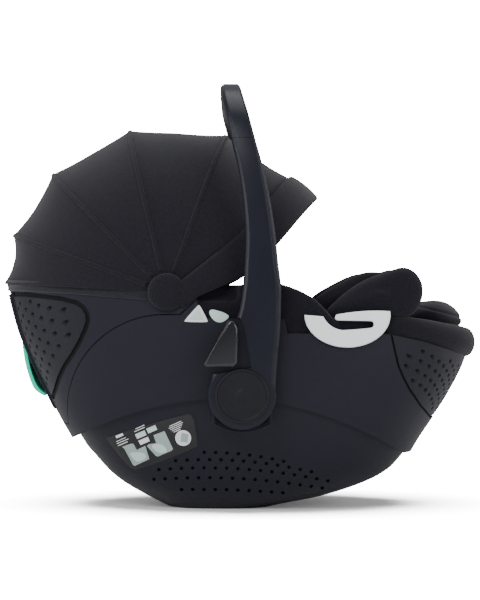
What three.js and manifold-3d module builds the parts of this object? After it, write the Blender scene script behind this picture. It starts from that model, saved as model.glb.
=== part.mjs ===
// Infant car seat: a moulded bucket with an upright carry handle, a fan canopy, a fabric-lined foam
// seat with harness and headrest, belt guides on the rim and a release handle behind the head end.
// Millimetres. +X points to the foot end, -X to the head end, +Z up; it stands on Z = 0.
import * as THREE from "three";
import { mergeVertices } from "three/addons/utils/BufferGeometryUtils.js";
import Module from "manifold-3d";

const wasm = await Module();
wasm.setup();

// ---------------------------------------------------------------- driving dimensions
const WALL = 3.2; // thickness of the moulded shells
const GAP = 0.4; // left between pieces that touch
const SEAM = 1.2; // open joint between the back shell and the lower shell
const PIVOT = { x: 3, z: 160 }; // the handle turns about this line, along Y
const FAN = { x: -99, z: 299, radius: 235, half: 180, power: 2.3 }; // the canopy's fan
const ARM = { inner: 192, outer: 212 }; // the handle arm's faces, out from the middle plane
const HUB_RADIUS = 45;
const AXLE_RADIUS = 9;
const DOCK = { rear: -78, front: 22, half: 62, depth: 27 }; // recess under the base
const PIN_RADIUS = 4; // the pins that the canopy's front bow turns on
const RIBS = [176, 160, 134.8, 104, 70.4, 44.3]; // rib angles in degrees, from the rim to the front band
const SCALLOP = 10; // how far the cloth dips between two ribs
const SIDES = { left: 1, right: -1 };
const FAR = 700; // beyond every piece

// ---------------------------------------------------------------- curves and outlines
// A smooth graph through [t, value] pairs, flat beyond its ends.
function through(pairs) {
  const last = pairs.length - 1;
  const slope = (i) => {
    const [t0, a] = pairs[Math.max(i - 1, 0)];
    const [t1, b] = pairs[Math.min(i + 1, last)];
    return (b - a) / (t1 - t0);
  };
  return (t) => {
    let i = 0;
    while (i < last - 1 && t > pairs[i + 1][0]) i++;
    const [t0, a] = pairs[i];
    const [t1, b] = pairs[i + 1];
    const h = t1 - t0;
    const u = THREE.MathUtils.clamp((t - t0) / h, 0, 1);
    const v = 1 - u;
    return v * v * ((1 + 2 * u) * a + u * h * slope(i)) + u * u * ((1 + 2 * v) * b - v * h * slope(i + 1));
  };
}

// cos or sin raised to a superellipse's power, keeping its sign.
function rounded(value, power) {
  return Math.sign(value) * Math.abs(value) ** (2 / power);
}

function outline(points) {
  return new THREE.Shape(points.map(([a, b]) => new THREE.Vector2(a, b)));
}

// The outline with each side moved inwards by d; the points run anticlockwise.
function inset(points, d) {
  const n = points.length;
  const side = (i) => {
    const [ax, ay] = points[i % n];
    const [bx, by] = points[(i + 1) % n];
    const length = Math.hypot(bx - ax, by - ay);
    return { nx: -(by - ay) / length, ny: (bx - ax) / length };
  };
  return points.map(([x, y], i) => {
    const p = side(i + n - 1);
    const q = side(i);
    const k = d / (1 + p.nx * q.nx + p.ny * q.ny);
    return [x + k * (p.nx + q.nx), y + k * (p.ny + q.ny)];
  });
}

// ---------------------------------------------------------------- solids
function signedVolume(geometry) {
  const p = geometry.getAttribute("position");
  const index = geometry.index.array;
  const [a, b, c] = [new THREE.Vector3(), new THREE.Vector3(), new THREE.Vector3()];
  let six = 0;
  for (let i = 0; i < index.length; i += 3) {
    a.fromBufferAttribute(p, index[i]);
    b.fromBufferAttribute(p, index[i + 1]);
    c.fromBufferAttribute(p, index[i + 2]);
    six += a.dot(b.cross(c));
  }
  return six / 6;
}

// A closed geometry as a solid, with its shared vertices merged and its faces pointing out.
function solid(geometry) {
  geometry.deleteAttribute("normal");
  geometry.deleteAttribute("uv");
  const merged = mergeVertices(geometry, 1e-3);
  const old = merged.index.array;
  const inside = signedVolume(merged) < 0;
  const kept = [];
  for (let i = 0; i < old.length; i += 3) {
    const [a, b, c] = [old[i], old[i + 1], old[i + 2]];
    if (a !== b && b !== c && c !== a) kept.push(...(inside ? [a, c, b] : [a, b, c]));
  }
  const mesh = new wasm.Mesh({
    numProp: 3,
    vertProperties: new Float32Array(merged.attributes.position.array),
    triVerts: new Uint32Array(kept),
  });
  return new wasm.Manifold(mesh);
}

function indexed(points, index) {
  const geometry = new THREE.BufferGeometry().setFromPoints(points);
  return geometry.setIndex(index);
}

// A solid through closed rings of equally many points, with a fan of triangles over each end.
function loft(rings) {
  const n = rings[0].length;
  const points = rings.flat();
  const index = [];
  const quad = (a, b, c, d) => index.push(a, b, c, a, c, d);
  for (let i = 0; i + 1 < rings.length; i++)
    for (let j = 0; j < n; j++) {
      const k = (j + 1) % n;
      quad(i * n + j, i * n + k, (i + 1) * n + k, (i + 1) * n + j);
    }
  for (const [i, turned] of [[0, true], [rings.length - 1, false]]) {
    const middle = new THREE.Vector3();
    rings[i].forEach((p) => middle.addScaledVector(p, 1 / n));
    points.push(middle);
    for (let j = 0; j < n; j++) {
      const [a, b] = [i * n + j, i * n + ((j + 1) % n)];
      index.push(points.length - 1, ...(turned ? [b, a] : [a, b]));
    }
  }
  return solid(indexed(points, index));
}

// A thin solid between an outer and an inner grid of points, each a list of equally long rows.
function sheet(outer, inner) {
  const rows = outer.length;
  const columns = outer[0].length;
  const at = (i, j) => i * columns + j;
  const under = rows * columns;
  const index = [];
  const quad = (a, b, c, d) => index.push(a, b, c, a, c, d);
  for (let i = 0; i + 1 < rows; i++)
    for (let j = 0; j + 1 < columns; j++) {
      const [a, b, c, d] = [at(i, j), at(i, j + 1), at(i + 1, j + 1), at(i + 1, j)];
      quad(a, b, c, d);
      quad(under + a, under + d, under + c, under + b);
    }
  const wall = (a, b) => quad(a, under + a, under + b, b);
  for (let j = 0; j + 1 < columns; j++) {
    wall(at(0, j), at(0, j + 1));
    wall(at(rows - 1, j + 1), at(rows - 1, j));
  }
  for (let i = 0; i + 1 < rows; i++) {
    wall(at(i + 1, 0), at(i, 0));
    wall(at(i, columns - 1), at(i + 1, columns - 1));
  }
  return solid(indexed([...outer.flat(), ...inner.flat()], index));
}

// A side-view outline in X and Z, as a solid from Y = low to Y = high.
function slab(shape, low = -FAR, high = FAR, curveSegments = 10) {
  const drawn = Array.isArray(shape) ? outline(shape) : shape;
  const geometry = new THREE.ExtrudeGeometry(drawn, { depth: high - low, bevelEnabled: false, curveSegments });
  return solid(geometry.rotateX(Math.PI / 2).translate(0, high, 0));
}

function block(x0, x1, y0, y1, z0, z1) {
  const geometry = new THREE.BoxGeometry(x1 - x0, y1 - y0, z1 - z0);
  return solid(geometry.translate((x0 + x1) / 2, (y0 + y1) / 2, (z0 + z1) / 2));
}

// A round bar along Y.
function disc(x, z, radius, y0, y1, segments = 40) {
  const geometry = new THREE.CylinderGeometry(radius, radius, y1 - y0, segments);
  return solid(geometry.translate(x, (y0 + y1) / 2, z));
}

// Between two distances out from the middle plane, on one side of it.
function span(side, inner, outer) {
  return side > 0 ? [inner, outer] : [-outer, -inner];
}

// ---------------------------------------------------------------- the bucket's hulls
// Each hull is a stack of superellipses: where it starts and ends along X, and its half width, by height.
const BASE = {
  levels: [0, 5, 20, 42, 70, 88, 120, 168],
  rear: through([[0, -104], [4, -112], [14, -132], [30, -161], [48, -184], [70, -204], [88, -219], [168, -264]]),
  front: through([[0, 48], [4, 66], [14, 118], [30, 170], [48, 206], [70, 228], [88, 240], [168, 288]]),
  half: through([[0, 98], [14, 116], [30, 131], [48, 142], [70, 151], [88, 158], [120, 168], [168, 177]]),
  power: 2.7,
};
const UPPER = {
  levels: [76, 97, 155, 215, 330],
  rear: through([[76, -229], [93, -236.5], [120, -252], [155, -270], [204, -294], [250, -312], [330, -332]]),
  front: through([[76, 242], [93, 252], [120, 270], [155, 293], [204, 317.5], [250, 327], [330, 331]]),
  half: through([[76, 163], [93, 167], [120, 174], [155, 181], [204, 185], [264, 184], [330, 180]]),
  power: 2.7,
};
// The hollow that the child lies in.
const HOLLOW = {
  levels: [64, 76, 100, 150, 235, 345],
  rear: through([[64, -6], [72, -32], [90, -70], [120, -118], [180, -198], [235, -258], [290, -300], [345, -322]]),
  front: through([[64, 48], [72, 72], [90, 108], [120, 160], [180, 236], [235, 292], [290, 318], [345, 330]]),
  half: through([[64, 58], [72, 76], [90, 98], [120, 118], [180, 140], [235, 150], [290, 156], [345, 160]]),
  power: 2.5,
};

function hull(shape, grow = 0, around = 28) {
  const foot = shape.levels[0];
  return loft(
    shape.levels.map((z) => {
      const rise = grow * THREE.MathUtils.clamp(1 - (z - foot) / 60, 0, 1);
      const [rear, front] = [shape.rear(z) - grow, shape.front(z) + grow];
      return Array.from({ length: around }, (_, k) => {
        const turn = (2 * Math.PI * k) / around;
        const x = (rear + front) / 2 + ((front - rear) / 2) * rounded(Math.cos(turn), shape.power);
        return new THREE.Vector3(x, (shape.half(z) + grow) * rounded(Math.sin(turn), shape.power), z - rise);
      });
    }),
  );
}

// The arched ledge, where the fuller upper body meets the recessed base.
function ledge(shift) {
  const points = [];
  for (let x = -300; x <= 300; x += 40) points.push([x, shift + 155 - 0.0013 * (x + 20) ** 2]);
  return slab([...points, [FAR, FAR], [-FAR, FAR]]);
}

const outerBody = hull(UPPER).intersect(ledge(0)).add(hull(BASE));
const innerBody = hull(UPPER, -WALL).intersect(ledge(WALL)).add(hull(BASE, -WALL));
const bodyWall = outerBody.subtract(innerBody);

// Side-view regions of the body, anticlockwise.
const SEAM_CENTRE = { x: -100, z: 134, radius: 135 };
function backRegion(shift) {
  const { x, z, radius } = SEAM_CENTRE;
  const arc = [];
  for (let degrees = 186; degrees >= 96; degrees -= 9) {
    const turn = THREE.MathUtils.degToRad(degrees);
    arc.push([x + (radius + shift / 2) * Math.cos(turn), z + shift * 0.7 + (radius + shift / 2) * Math.sin(turn)]);
  }
  return [[-FAR, 113 + shift], ...arc, [-80 - shift, 268 + shift], [-52 - shift, 294], [-52 - shift, FAR], [-FAR, FAR]];
}
const RIM_LINE = [[-FAR, 309], [-333, 308], [-240, 304], [-150, 297], [-60, 295], [-52, 264], [60, 262], [64, 243],
  [200, 242], [252, 231], [335, 204], [FAR, 170]];
const FOOT_VENT = [[203, FAR], [203, 242], [213, 199], [230, 165], [264, 124], [FAR, 124], [FAR, FAR]];
const REAR_VENT = [[-FAR, 150], [-258, 150], [-246, 179], [-225, 213], [-207, 247], [-203, 268], [-216, 287],
  [-244, 294], [-296, 299], [-FAR, 299]];
const REAR_PLATE_HALF = 60; // half width of the plain strip that carries the release handle

function belowRim() {
  return slab([[-FAR, -20], [FAR, -20], ...[...RIM_LINE].reverse()]);
}

function lowerShell() {
  const pocket = block(DOCK.rear - WALL, DOCK.front + WALL, -DOCK.half - WALL, DOCK.half + WALL, 0.5, DOCK.depth + WALL);
  const recess = block(DOCK.rear, DOCK.front, -DOCK.half, DOCK.half, -1, DOCK.depth);
  let shell = bodyWall.intersect(belowRim()).subtract(slab(backRegion(0)));
  shell = shell.subtract(slab(FOOT_VENT)).add(pocket).subtract(recess);
  for (const x of [DOCK.rear + 18, DOCK.front - 18]) shell = shell.subtract(disc(x, 14, 6.4, -80, 80, 20));
  return shell.subtract(disc(PIVOT.x, PIVOT.z, AXLE_RADIUS + 0.5, -FAR, FAR, 24));
}

function backShell() {
  const vents = slab(REAR_VENT).subtract(block(-FAR, FAR, -REAR_PLATE_HALF, REAR_PLATE_HALF, -FAR, FAR));
  const pinHoles = disc(FAN.x, FAN.z, PIN_RADIUS + 0.5, -FAR, FAR, 20);
  const shell = bodyWall.intersect(belowRim()).intersect(slab(backRegion(SEAM)));
  return shell.subtract(vents).subtract(pinHoles).subtract(recessBlock(3.4));
}

// A perforated insert lies a millimetre below the shell around it, with an open groove round its edge.
function ventWall() {
  return hull(UPPER, -1).subtract(hull(UPPER, -WALL));
}

function rearVent(side) {
  const [y0, y1] = span(side, REAR_PLATE_HALF + 1.5, FAR);
  return ventWall().intersect(slab(inset(REAR_VENT, 4))).intersect(block(-FAR, 0, y0, y1, 0, FAR));
}

function footVent() {
  return ventWall().intersect(slab(inset(FOOT_VENT, 3))).intersect(belowRim());
}

// ---------------------------------------------------------------- foam, cover and cushions
const COVER = 8; // cloth and wadding over the foam
const FOAM = 22;
const PAD = 14; // the newborn inlay's thickness
const COVER_TOP = [[-FAR, 306], [-333, 305], [-240, 301], [-150, 296], [-60, 310], [0, 309], [52, 311], [80, 302],
  [100, 291], [114, 277], [126, 262], [200, 261], [256, 252], [306, 240], [335, 232], [FAR, 232]];
const FOAM_TOP = [[-FAR, 290], [-150, 284], [-80, 258], [56, 254], [66, 236], [200, 235], [252, 224], [335, 198], [FAR, 170]];

function under(line, raised = 0) {
  const top = line.map(([x, z]) => [x, z + raised]);
  return slab([[-FAR, -20], [FAR, -20], ...top.reverse()]);
}

// The padded roll that the cover makes round the foot end, over the shell's rim.
function footRoll(grow) {
  const middle = through([[118, 255], [200, 254], [256, 244], [325, 227]]);
  const rings = [];
  const steps = 22;
  for (let i = 0; i <= steps; i++) {
    const turn = THREE.MathUtils.lerp(-1, 1, i / steps) * 1.03;
    const inward = 9;
    const [a, b] = [327 - inward, 184 - inward];
    const p = new THREE.Vector3(a * rounded(Math.cos(turn), 2.7), b * rounded(Math.sin(turn), 2.7), 0);
    p.z = middle(p.x);
    const out = new THREE.Vector3(rounded(Math.cos(turn), 1.4) / a, rounded(Math.sin(turn), 1.4) / b, 0).normalize();
    const fat = 0.55 + 0.45 * Math.min(1, (1 - Math.abs(i / steps - 0.5) * 2) * 6);
    rings.push(
      Array.from({ length: 8 }, (_, k) => {
        const round = (2 * Math.PI * (k + 0.5)) / 8;
        const across = (13 * fat + grow) * Math.cos(round);
        return p.clone().addScaledVector(out, across).setZ(p.z + (15.5 * fat + grow) * Math.sin(round));
      }),
    );
  }
  return loft(rings);
}

function foamLiner() {
  const filling = hull(UPPER, -WALL - GAP).intersect(slab([[-FAR, 210], [-60, 225], [FAR, 196], [FAR, FAR], [-FAR, FAR]]));
  const bowl = hull(HOLLOW, COVER + FOAM).intersect(hull(UPPER, -WALL - GAP).add(hull(BASE, -WALL - GAP)));
  const liner = bowl.add(filling).subtract(hull(HOLLOW, COVER + GAP)).intersect(under(FOAM_TOP));
  return liner.subtract(footRoll(GAP)).subtract(recessBlock(4));
}

function seatCover() {
  const brim = hull(UPPER, -WALL - GAP).subtract(under(FOAM_TOP, GAP));
  let cover = hull(HOLLOW, COVER).add(brim).intersect(under(COVER_TOP)).subtract(hull(HOLLOW)).subtract(footRoll(GAP));
  for (const side of Object.values(SIDES)) {
    // room for the canopy's band and its hinge plate
    cover = cover.subtract(block(-134, -2, ...span(side, 167, FAR), 286, 330));
    cover = cover.subtract(disc(FAN.x, FAN.z, 23.5, ...span(side, 160, FAR), 28));
  }
  return cover.subtract(headrestRoom()).subtract(onFootSlope(new THREE.BoxGeometry(35, 45, 8)));
}

// The newborn inlay: a soft pad that lies in the hollow.
function inlayPad() {
  const lies = slab([[-150, 0], [156, 0], [156, 190], [120, 150], [20, 110], [-80, 150], [-150, 210]]);
  const pad = hull(HOLLOW, -GAP).subtract(hull(HOLLOW, -PAD)).intersect(lies).intersect(block(-FAR, FAR, -112, 112, 0, FAR));
  return pad.subtract(block(66, 86, -24, 24, 0, FAR));
}

function ball(x, y, z, rx, ry, rz, tilt = 0) {
  const geometry = new THREE.SphereGeometry(1, 16, 8).scale(rx, ry, rz).rotateY(tilt);
  return solid(geometry.translate(x, y, z));
}

// The cover and everything beneath it.
function coverBulk() {
  return under(COVER_TOP, GAP).subtract(hull(HOLLOW, -GAP));
}

// A thigh cushion of the inlay, which stands up over the rim beside the belt guide.
function inlayWing(side) {
  const wing = ball(186, side * 138, 290, 66, 25, 41, -0.12);
  return wing.subtract(coverBulk()).subtract(footRoll(GAP));
}

function legRoll() {
  return ball(272, 0, 248, 27, 92, 34, 0.5).subtract(coverBulk()).subtract(footRoll(GAP));
}

// ---------------------------------------------------------------- headrest and harness
const BACK = { x: -28, z: 76, lean: THREE.MathUtils.degToRad(39) }; // the backrest's foot and its slope
// A point s up the backrest, y across it and d out from its surface.
function onBack(s, y, d) {
  const [c, n] = [Math.cos(BACK.lean), Math.sin(BACK.lean)];
  return new THREE.Vector3(BACK.x - s * c + d * n, y, BACK.z + s * n + d * c);
}

// A U-shaped outline, across the backrest, extruded up it from s0 to s1.
function wrap(shape, s0, s1) {
  const geometry = new THREE.ExtrudeGeometry(shape, { depth: s1 - s0, bevelEnabled: false, curveSegments: 6 });
  const axes = [new THREE.Vector3(0, 1, 0), onBack(0, 0, 1).sub(onBack(0, 0, 0)), onBack(1, 0, 0).sub(onBack(0, 0, 0))];
  const place = new THREE.Matrix4().makeBasis(...axes).setPosition(onBack(s0, 0, 0));
  return solid(geometry.applyMatrix4(place));
}

function headrestCushion() {
  return wrap(outline([[-98, 26], [98, 26], [109, 42], [112, 84], [106, 92], [92, 92], [84, 84], [80, 56], [66, 46],
    [-66, 46], [-80, 56], [-84, 84], [-92, 92], [-106, 92], [-112, 84], [-109, 42]]), 186, 286);
}

function headrestFrame() {
  return wrap(outline([[-84, 18], [84, 18], [84, 23.4], [-84, 23.4]]), 180, 276);
}

// The room in the cover that the headrest slides up into.
const HEADREST_TRAVEL = 50;
function headrestRoom() {
  const behind = outline([[-99, 24.5], [99, 24.5], [111, 41], [114, 85], [107, 94], [-107, 94], [-114, 85], [-111, 41]]);
  const plate = outline([[-85, 16.5], [85, 16.5], [85, 30], [-85, 30]]);
  return wrap(behind, 200, 286 + HEADREST_TRAVEL + 1).add(wrap(plate, 200, 276 + HEADREST_TRAVEL + 1));
}

// Webbing along part of a curve, w wide and t thick, its width square to `up`. The steps fall at
// fixed places along the curve, so that a pad and the strap through it bend at the same points.
const STEP = 0.025;
function webbing(path, w, t, up, from = 0, to = 1) {
  const rings = [];
  for (let i = 0; i <= Math.round((to - from) / STEP); i++) {
    const at = from + i * STEP;
    const along = path.getTangentAt(at);
    const across = along.clone().cross(up).normalize();
    const out = across.clone().cross(along).normalize();
    const corner = (a, b) => path.getPointAt(at).addScaledVector(across, (a * w) / 2).addScaledVector(out, (b * t) / 2);
    rings.push([corner(-1, -1), corner(1, -1), corner(1, 1), corner(-1, 1)]);
  }
  return loft(rings);
}

const BUCKLE = { x: 44, z: 132, tilt: 0.46 };
const OUTWARD = new THREE.Vector3(Math.sin(BUCKLE.tilt), 0, Math.cos(BUCKLE.tilt));
// A point in the buckle's own frame: a towards the child's knees, b across, c out from the body.
function onBuckle(a, b, c) {
  const p = new THREE.Vector3(a, b, c).applyAxisAngle(new THREE.Vector3(0, 1, 0), BUCKLE.tilt);
  return p.add(new THREE.Vector3(BUCKLE.x, 0, BUCKLE.z));
}

function shoulderPath(side) {
  const line = [[150, 42, 27], [128, 43, 42], [90, 40, 54], [40, 34, 56]].map(([s, y, d]) => onBack(s, side * y, d));
  return new THREE.CatmullRomCurve3([...line, onBuckle(-62, side * 25, 4), onBuckle(-51, side * 22, 0)]);
}

function shoulderStrap(side) {
  return webbing(shoulderPath(side), 34, 1.8, OUTWARD);
}

function shoulderPad(side) {
  const path = shoulderPath(side);
  return webbing(path, 50, 9, OUTWARD, 0.2, 0.6).subtract(webbing(path, 37, 4, OUTWARD, 0.15, 0.65));
}

function lapStrap(side) {
  const points = [[2, 110, 128], [12, 91, 134], [20, 66, 138]].map(([x, y, z]) => new THREE.Vector3(x, side * y, z));
  const path = new THREE.CatmullRomCurve3([...points, onBuckle(-38, side * 41, 0)]);
  return webbing(path, 32, 1.8, OUTWARD);
}

function crotchStrap() {
  const path = new THREE.CatmullRomCurve3([new THREE.Vector3(75, 0, 77), new THREE.Vector3(77, 0, 98), onBuckle(33, 0, -2)]);
  return webbing(path, 36, 1.8, new THREE.Vector3(1, 0, 0.2));
}

function onBuckleTurned(geometry) {
  return solid(geometry.rotateY(BUCKLE.tilt).translate(BUCKLE.x, 0, BUCKLE.z));
}

function buckleBody() {
  const shape = outline([[-30, -20], [22, -23], [30, -14], [30, 14], [22, 23], [-30, 20]]);
  const body = new THREE.ExtrudeGeometry(shape, { depth: 18, bevelEnabled: true, bevelSize: 2, bevelThickness: 2, bevelSegments: 1 });
  const well = new THREE.BoxGeometry(23, 27, 20).translate(9, 0, 14.5);
  return onBuckleTurned(body.translate(0, 0, -9)).subtract(onBuckleTurned(well));
}

// The button stands a little proud of the buckle's face.
function buckleButton() {
  return onBuckleTurned(new THREE.BoxGeometry(22, 26, 5.2).translate(9, 0, 10.2));
}

// The two strap tongues, locked together where they enter the buckle.
function buckleTongues() {
  const shape = outline([[-46, -40], [-40, -24], [-32.4, -15], [-32.4, 15], [-40, 24], [-46, 40], [-46, 2], [-41, 0], [-46, -2]]);
  const plate = new THREE.ExtrudeGeometry(shape, { depth: 5, bevelEnabled: false });
  return onBuckleTurned(plate.translate(0, 0, -2.5));
}

// ---------------------------------------------------------------- fittings on the bucket
function beltGuide(side) {
  const g = new THREE.Shape();
  g.moveTo(86.5, 266);
  g.absellipse(145, 268, 58.5, 44, Math.PI, 2 * Math.PI, false);
  g.lineTo(203, 273);
  g.quadraticCurveTo(168, 275.5, 130, 268.5);
  g.quadraticCurveTo(125, 264, 130.5, 260.5);
  g.lineTo(176, 259.5);
  g.absarc(176, 255, 4.5, Math.PI / 2, -Math.PI / 2, true);
  g.quadraticCurveTo(158, 248.5, 138, 247.5);
  g.quadraticCurveTo(120, 250, 112, 266);
  const [y0, y1] = span(side, 100, 191.2);
  return hull(UPPER, 7).subtract(hull(UPPER, GAP)).intersect(slab(g, y0, y1, 9));
}

function pivotAxle(side) {
  const [y0, y1] = span(side, 172, 209);
  const [f0, f1] = span(side, 185.6, 191.4);
  return disc(PIVOT.x, PIVOT.z, AXLE_RADIUS, y0, y1, 20).add(disc(PIVOT.x, PIVOT.z, 26, f0, f1, 28));
}

function lockGear(side) {
  const teeth = 12;
  const shape = new THREE.Shape();
  for (let i = 0; i < teeth * 4; i++) {
    const turn = (2 * Math.PI * (i + 0.5)) / (teeth * 4);
    const radius = i % 4 < 2 ? 27 : 23.5;
    shape[i ? "lineTo" : "moveTo"](PIVOT.x + radius * Math.cos(turn), PIVOT.z + radius * Math.sin(turn));
  }
  const bore = new THREE.Path().absarc(PIVOT.x, PIVOT.z, AXLE_RADIUS + GAP, 0, 2 * Math.PI);
  shape.holes.push(bore);
  return slab(shape, ...span(side, 203, 208), 12);
}

// The U-shaped socket below the hub, which a pushchair adapter slides up into.
function adapterSocket(side) {
  const u = (grow, top) => {
    const shape = new THREE.Shape();
    shape.moveTo(PIVOT.x + 37 + grow, top);
    shape.lineTo(PIVOT.x - 37 - grow, top);
    shape.lineTo(PIVOT.x - 37 - grow, 122);
    shape.quadraticCurveTo(PIVOT.x, 101 - 1.4 * grow, PIVOT.x + 37 + grow, 122);
    return shape;
  };
  const [y0, y1] = span(side, 150, 190);
  const collar = slab(u(3.5, 172), y0, y1, 16).subtract(slab(u(0, 200), ...span(side, 100, 300), 16));
  return collar.subtract(outerBody).subtract(hull(UPPER, GAP));
}

// The plate behind the head end, with a finger recess that reaches in through the back shell.
const RECESS = { half: 44, low: 150, high: 233, depth: 14 };
function recessBlock(margin) {
  const { half, low, high } = RECESS;
  return block(-FAR, -200, -half - margin, half + margin, low - margin, high + margin);
}

function releaseBezel() {
  const plate = hull(UPPER, 3).subtract(hull(UPPER, GAP)).intersect(block(-FAR, -200, -54, 54, 136, 296));
  const cup = hull(UPPER, 3).subtract(hull(UPPER, -RECESS.depth - 3)).intersect(recessBlock(3));
  return plate.add(cup).subtract(recessBlock(0).subtract(hull(UPPER, -RECESS.depth)));
}

// The pull, hinged along its top edge.
function releaseHandle() {
  const shape = new THREE.Shape();
  shape.moveTo(-300, 230);
  shape.quadraticCurveTo(-305, 231, -305.5, 226);
  shape.bezierCurveTo(-303, 200, -297, 180, -290.5, 166);
  shape.quadraticCurveTo(-284, 156.5, -274, 153.5);
  shape.lineTo(-272.5, 157);
  shape.quadraticCurveTo(-281, 161, -286.5, 172);
  shape.bezierCurveTo(-292, 184, -297, 200, -299, 224);
  return slab(shape, -42, 42, 6);
}

function dockBar(x) {
  return disc(x, 14, 6, -DOCK.half - 2.5, DOCK.half + 2.5, 20);
}

function infoLabel() {
  const shape = outline([[-182, 101], [-182, 95], [-153, 58], [-140, 54], [-58, 88], [-57, 93], [-63, 132], [-72, 135]]);
  return hull(BASE, 0.8).subtract(hull(BASE, 0.35)).intersect(slab(shape, -FAR, -60));
}

// The harness adjuster, at the foot of the hollow.
const FOOT_SLOPE = 0.66;
function onFootSlope(geometry) {
  const z = 142;
  const out = 4.6;
  geometry.rotateY(-FOOT_SLOPE);
  return solid(geometry.translate(HOLLOW.front(z) - out * Math.sin(FOOT_SLOPE), 0, z + out * Math.cos(FOOT_SLOPE)));
}

function adjusterHousing() {
  return onFootSlope(new THREE.BoxGeometry(34, 44, 7)).subtract(onFootSlope(new THREE.BoxGeometry(19, 27, 7).translate(0, 0, 2)));
}

function adjusterButton() {
  return onFootSlope(new THREE.BoxGeometry(18, 26, 3.6).translate(0, 0, 2.4));
}

// ---------------------------------------------------------------- handle
const ARM_CENTRE = through([[160, 3], [205, 8], [235, 16], [263, 25], [306, 29.5], [337, 28.7], [371, 27.7],
  [417, 23], [464, 14.7], [500, 5.5], [534, -3], [568, -12], [582, -13.5]]);
const ARM_HALF = through([[160, 44], [205, 42], [235, 37], [263, 29.5], [306, 25.5], [337, 22.7], [371, 20.3],
  [417, 18.4], [464, 16.7], [500, 16], [582, 14]]);
const HALF_BOW = [[202, 160], [202, 250], [201.5, 340], [198, 430], [189, 492], [170, 535], [136, 562], [80, 575.5]];

function handleBar() {
  const mirrored = HALF_BOW.map(([y, z]) => [-y, z]);
  const route = [...mirrored, [0, 580], ...[...HALF_BOW].reverse()];
  const path = new THREE.CatmullRomCurve3(route.map(([y, z]) => new THREE.Vector3(0, y, z)));
  const rings = [];
  const steps = 32;
  for (let i = 0; i <= steps; i++) {
    const p = path.getPointAt(i / steps);
    const along = path.getTangentAt(i / steps);
    const out = new THREE.Vector3(0, -along.z, along.y);
    const half = ARM_HALF(p.z);
    const thick = THREE.MathUtils.lerp(10, 12, THREE.MathUtils.smoothstep(p.z, 430, 570));
    const cut = Math.min(6, half * 0.3);
    const section = [[half, thick - cut], [half - cut, thick], [cut - half, thick], [-half, thick - cut],
      [-half, cut * 0.6 - thick], [cut * 0.6 - half, -thick], [half - cut * 0.6, -thick], [half, cut * 0.6 - thick]];
    rings.push(section.map(([x, d]) => new THREE.Vector3(ARM_CENTRE(p.z) + x, p.y + d * out.y, p.z + d * out.z)));
  }
  return loft(rings);
}

const TRIGGER_HINGE = { x: -9, z: 255 };
const TRIGGER = [[-49, 202], [-45, 198.5], [-8, 198.5], [-3, 204], [-2, 250], [-6, 259], [-13, 261], [-17, 258]];
const TRIGGER_POCKET = [[-80, 180], [-40, 188], [15, 197], [6, 252], [0, 264], [-80, 264]];
const BOW_JOINT = 506; // height at which an arm meets the bow

function handleArm(side, bar) {
  const [y0, y1] = span(side, ARM.inner, ARM.outer);
  let arm = bar.intersect(block(-FAR, FAR, ...span(side, 5, FAR), 0, BOW_JOINT - GAP));
  arm = arm.add(disc(PIVOT.x, PIVOT.z, HUB_RADIUS, y0, y1, 40));
  arm = arm.subtract(disc(PIVOT.x, PIVOT.z, AXLE_RADIUS + 0.5, -FAR, FAR, 20));
  arm = arm.subtract(disc(PIVOT.x, PIVOT.z, 29, ...span(side, 202, FAR), 32));
  return arm.subtract(slab(TRIGGER_POCKET, ...span(side, 203.5, FAR)));
}

function handleBow(bar) {
  return bar.intersect(block(-FAR, FAR, -FAR, FAR, BOW_JOINT, FAR));
}

function hubCap(side) {
  const profile = [[0, 0], [36, 0], [36, 2.6], [34, 4.6], [31, 5], [0, 5]];
  const geometry = new THREE.LatheGeometry(profile.map(([r, h]) => new THREE.Vector2(r, h)), 32);
  if (side < 0) geometry.rotateX(Math.PI);
  return solid(geometry.translate(PIVOT.x, side * (ARM.outer + GAP), PIVOT.z));
}

function trigger(side) {
  return slab(TRIGGER, ...span(side, 204, 222));
}

// ---------------------------------------------------------------- canopy
// A point of the fan: degrees round its pivot, share 0 to 1 over the arch from one side to the other.
function fanPoint(degrees, share, { radius = FAN.radius, half = FAN.half } = {}) {
  const turn = THREE.MathUtils.degToRad(degrees);
  const arch = Math.PI * share;
  const r = radius * rounded(Math.sin(arch), FAN.power);
  const y = -half * rounded(Math.cos(arch), FAN.power);
  return new THREE.Vector3(FAN.x + r * Math.cos(turn), y, FAN.z + r * Math.sin(turn));
}

// The shares of the arch where it stands `reach` out from the pivot, spread evenly with more at the shoulders.
function shares(reach, count) {
  const start = Math.asin((reach / FAN.radius) ** (FAN.power / 2)) / Math.PI;
  return Array.from({ length: count + 1 }, (_, i) => THREE.MathUtils.lerp(start, 1 - start, i / count));
}

// The seam of the front band, which curves forward towards the pivot.
function seamAngle(reach) {
  return THREE.MathUtils.lerp(38.6, RIBS[5], THREE.MathUtils.smoothstep(reach, 90, FAN.radius));
}

function gore(number) {
  const [from, to] = [RIBS[number - 1] - 0.35, RIBS[number] + 0.35];
  const rows = 4;
  const grid = (inwards) =>
    Array.from({ length: rows + 1 }, (_, i) => {
      const u = i / rows;
      const dip = SCALLOP * (1 - (2 * u - 1) ** 2);
      return shares(27, 14).map((share) => {
        const size = { radius: FAN.radius - dip - inwards, half: FAN.half - inwards };
        const flat = fanPoint(0, share, size);
        const front = number === 5 ? seamAngle(flat.x - FAN.x) + 0.35 : to;
        return fanPoint(THREE.MathUtils.lerp(from, front, u), share, size);
      });
    });
  return sheet(grid(0), grid(1.6));
}

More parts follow.
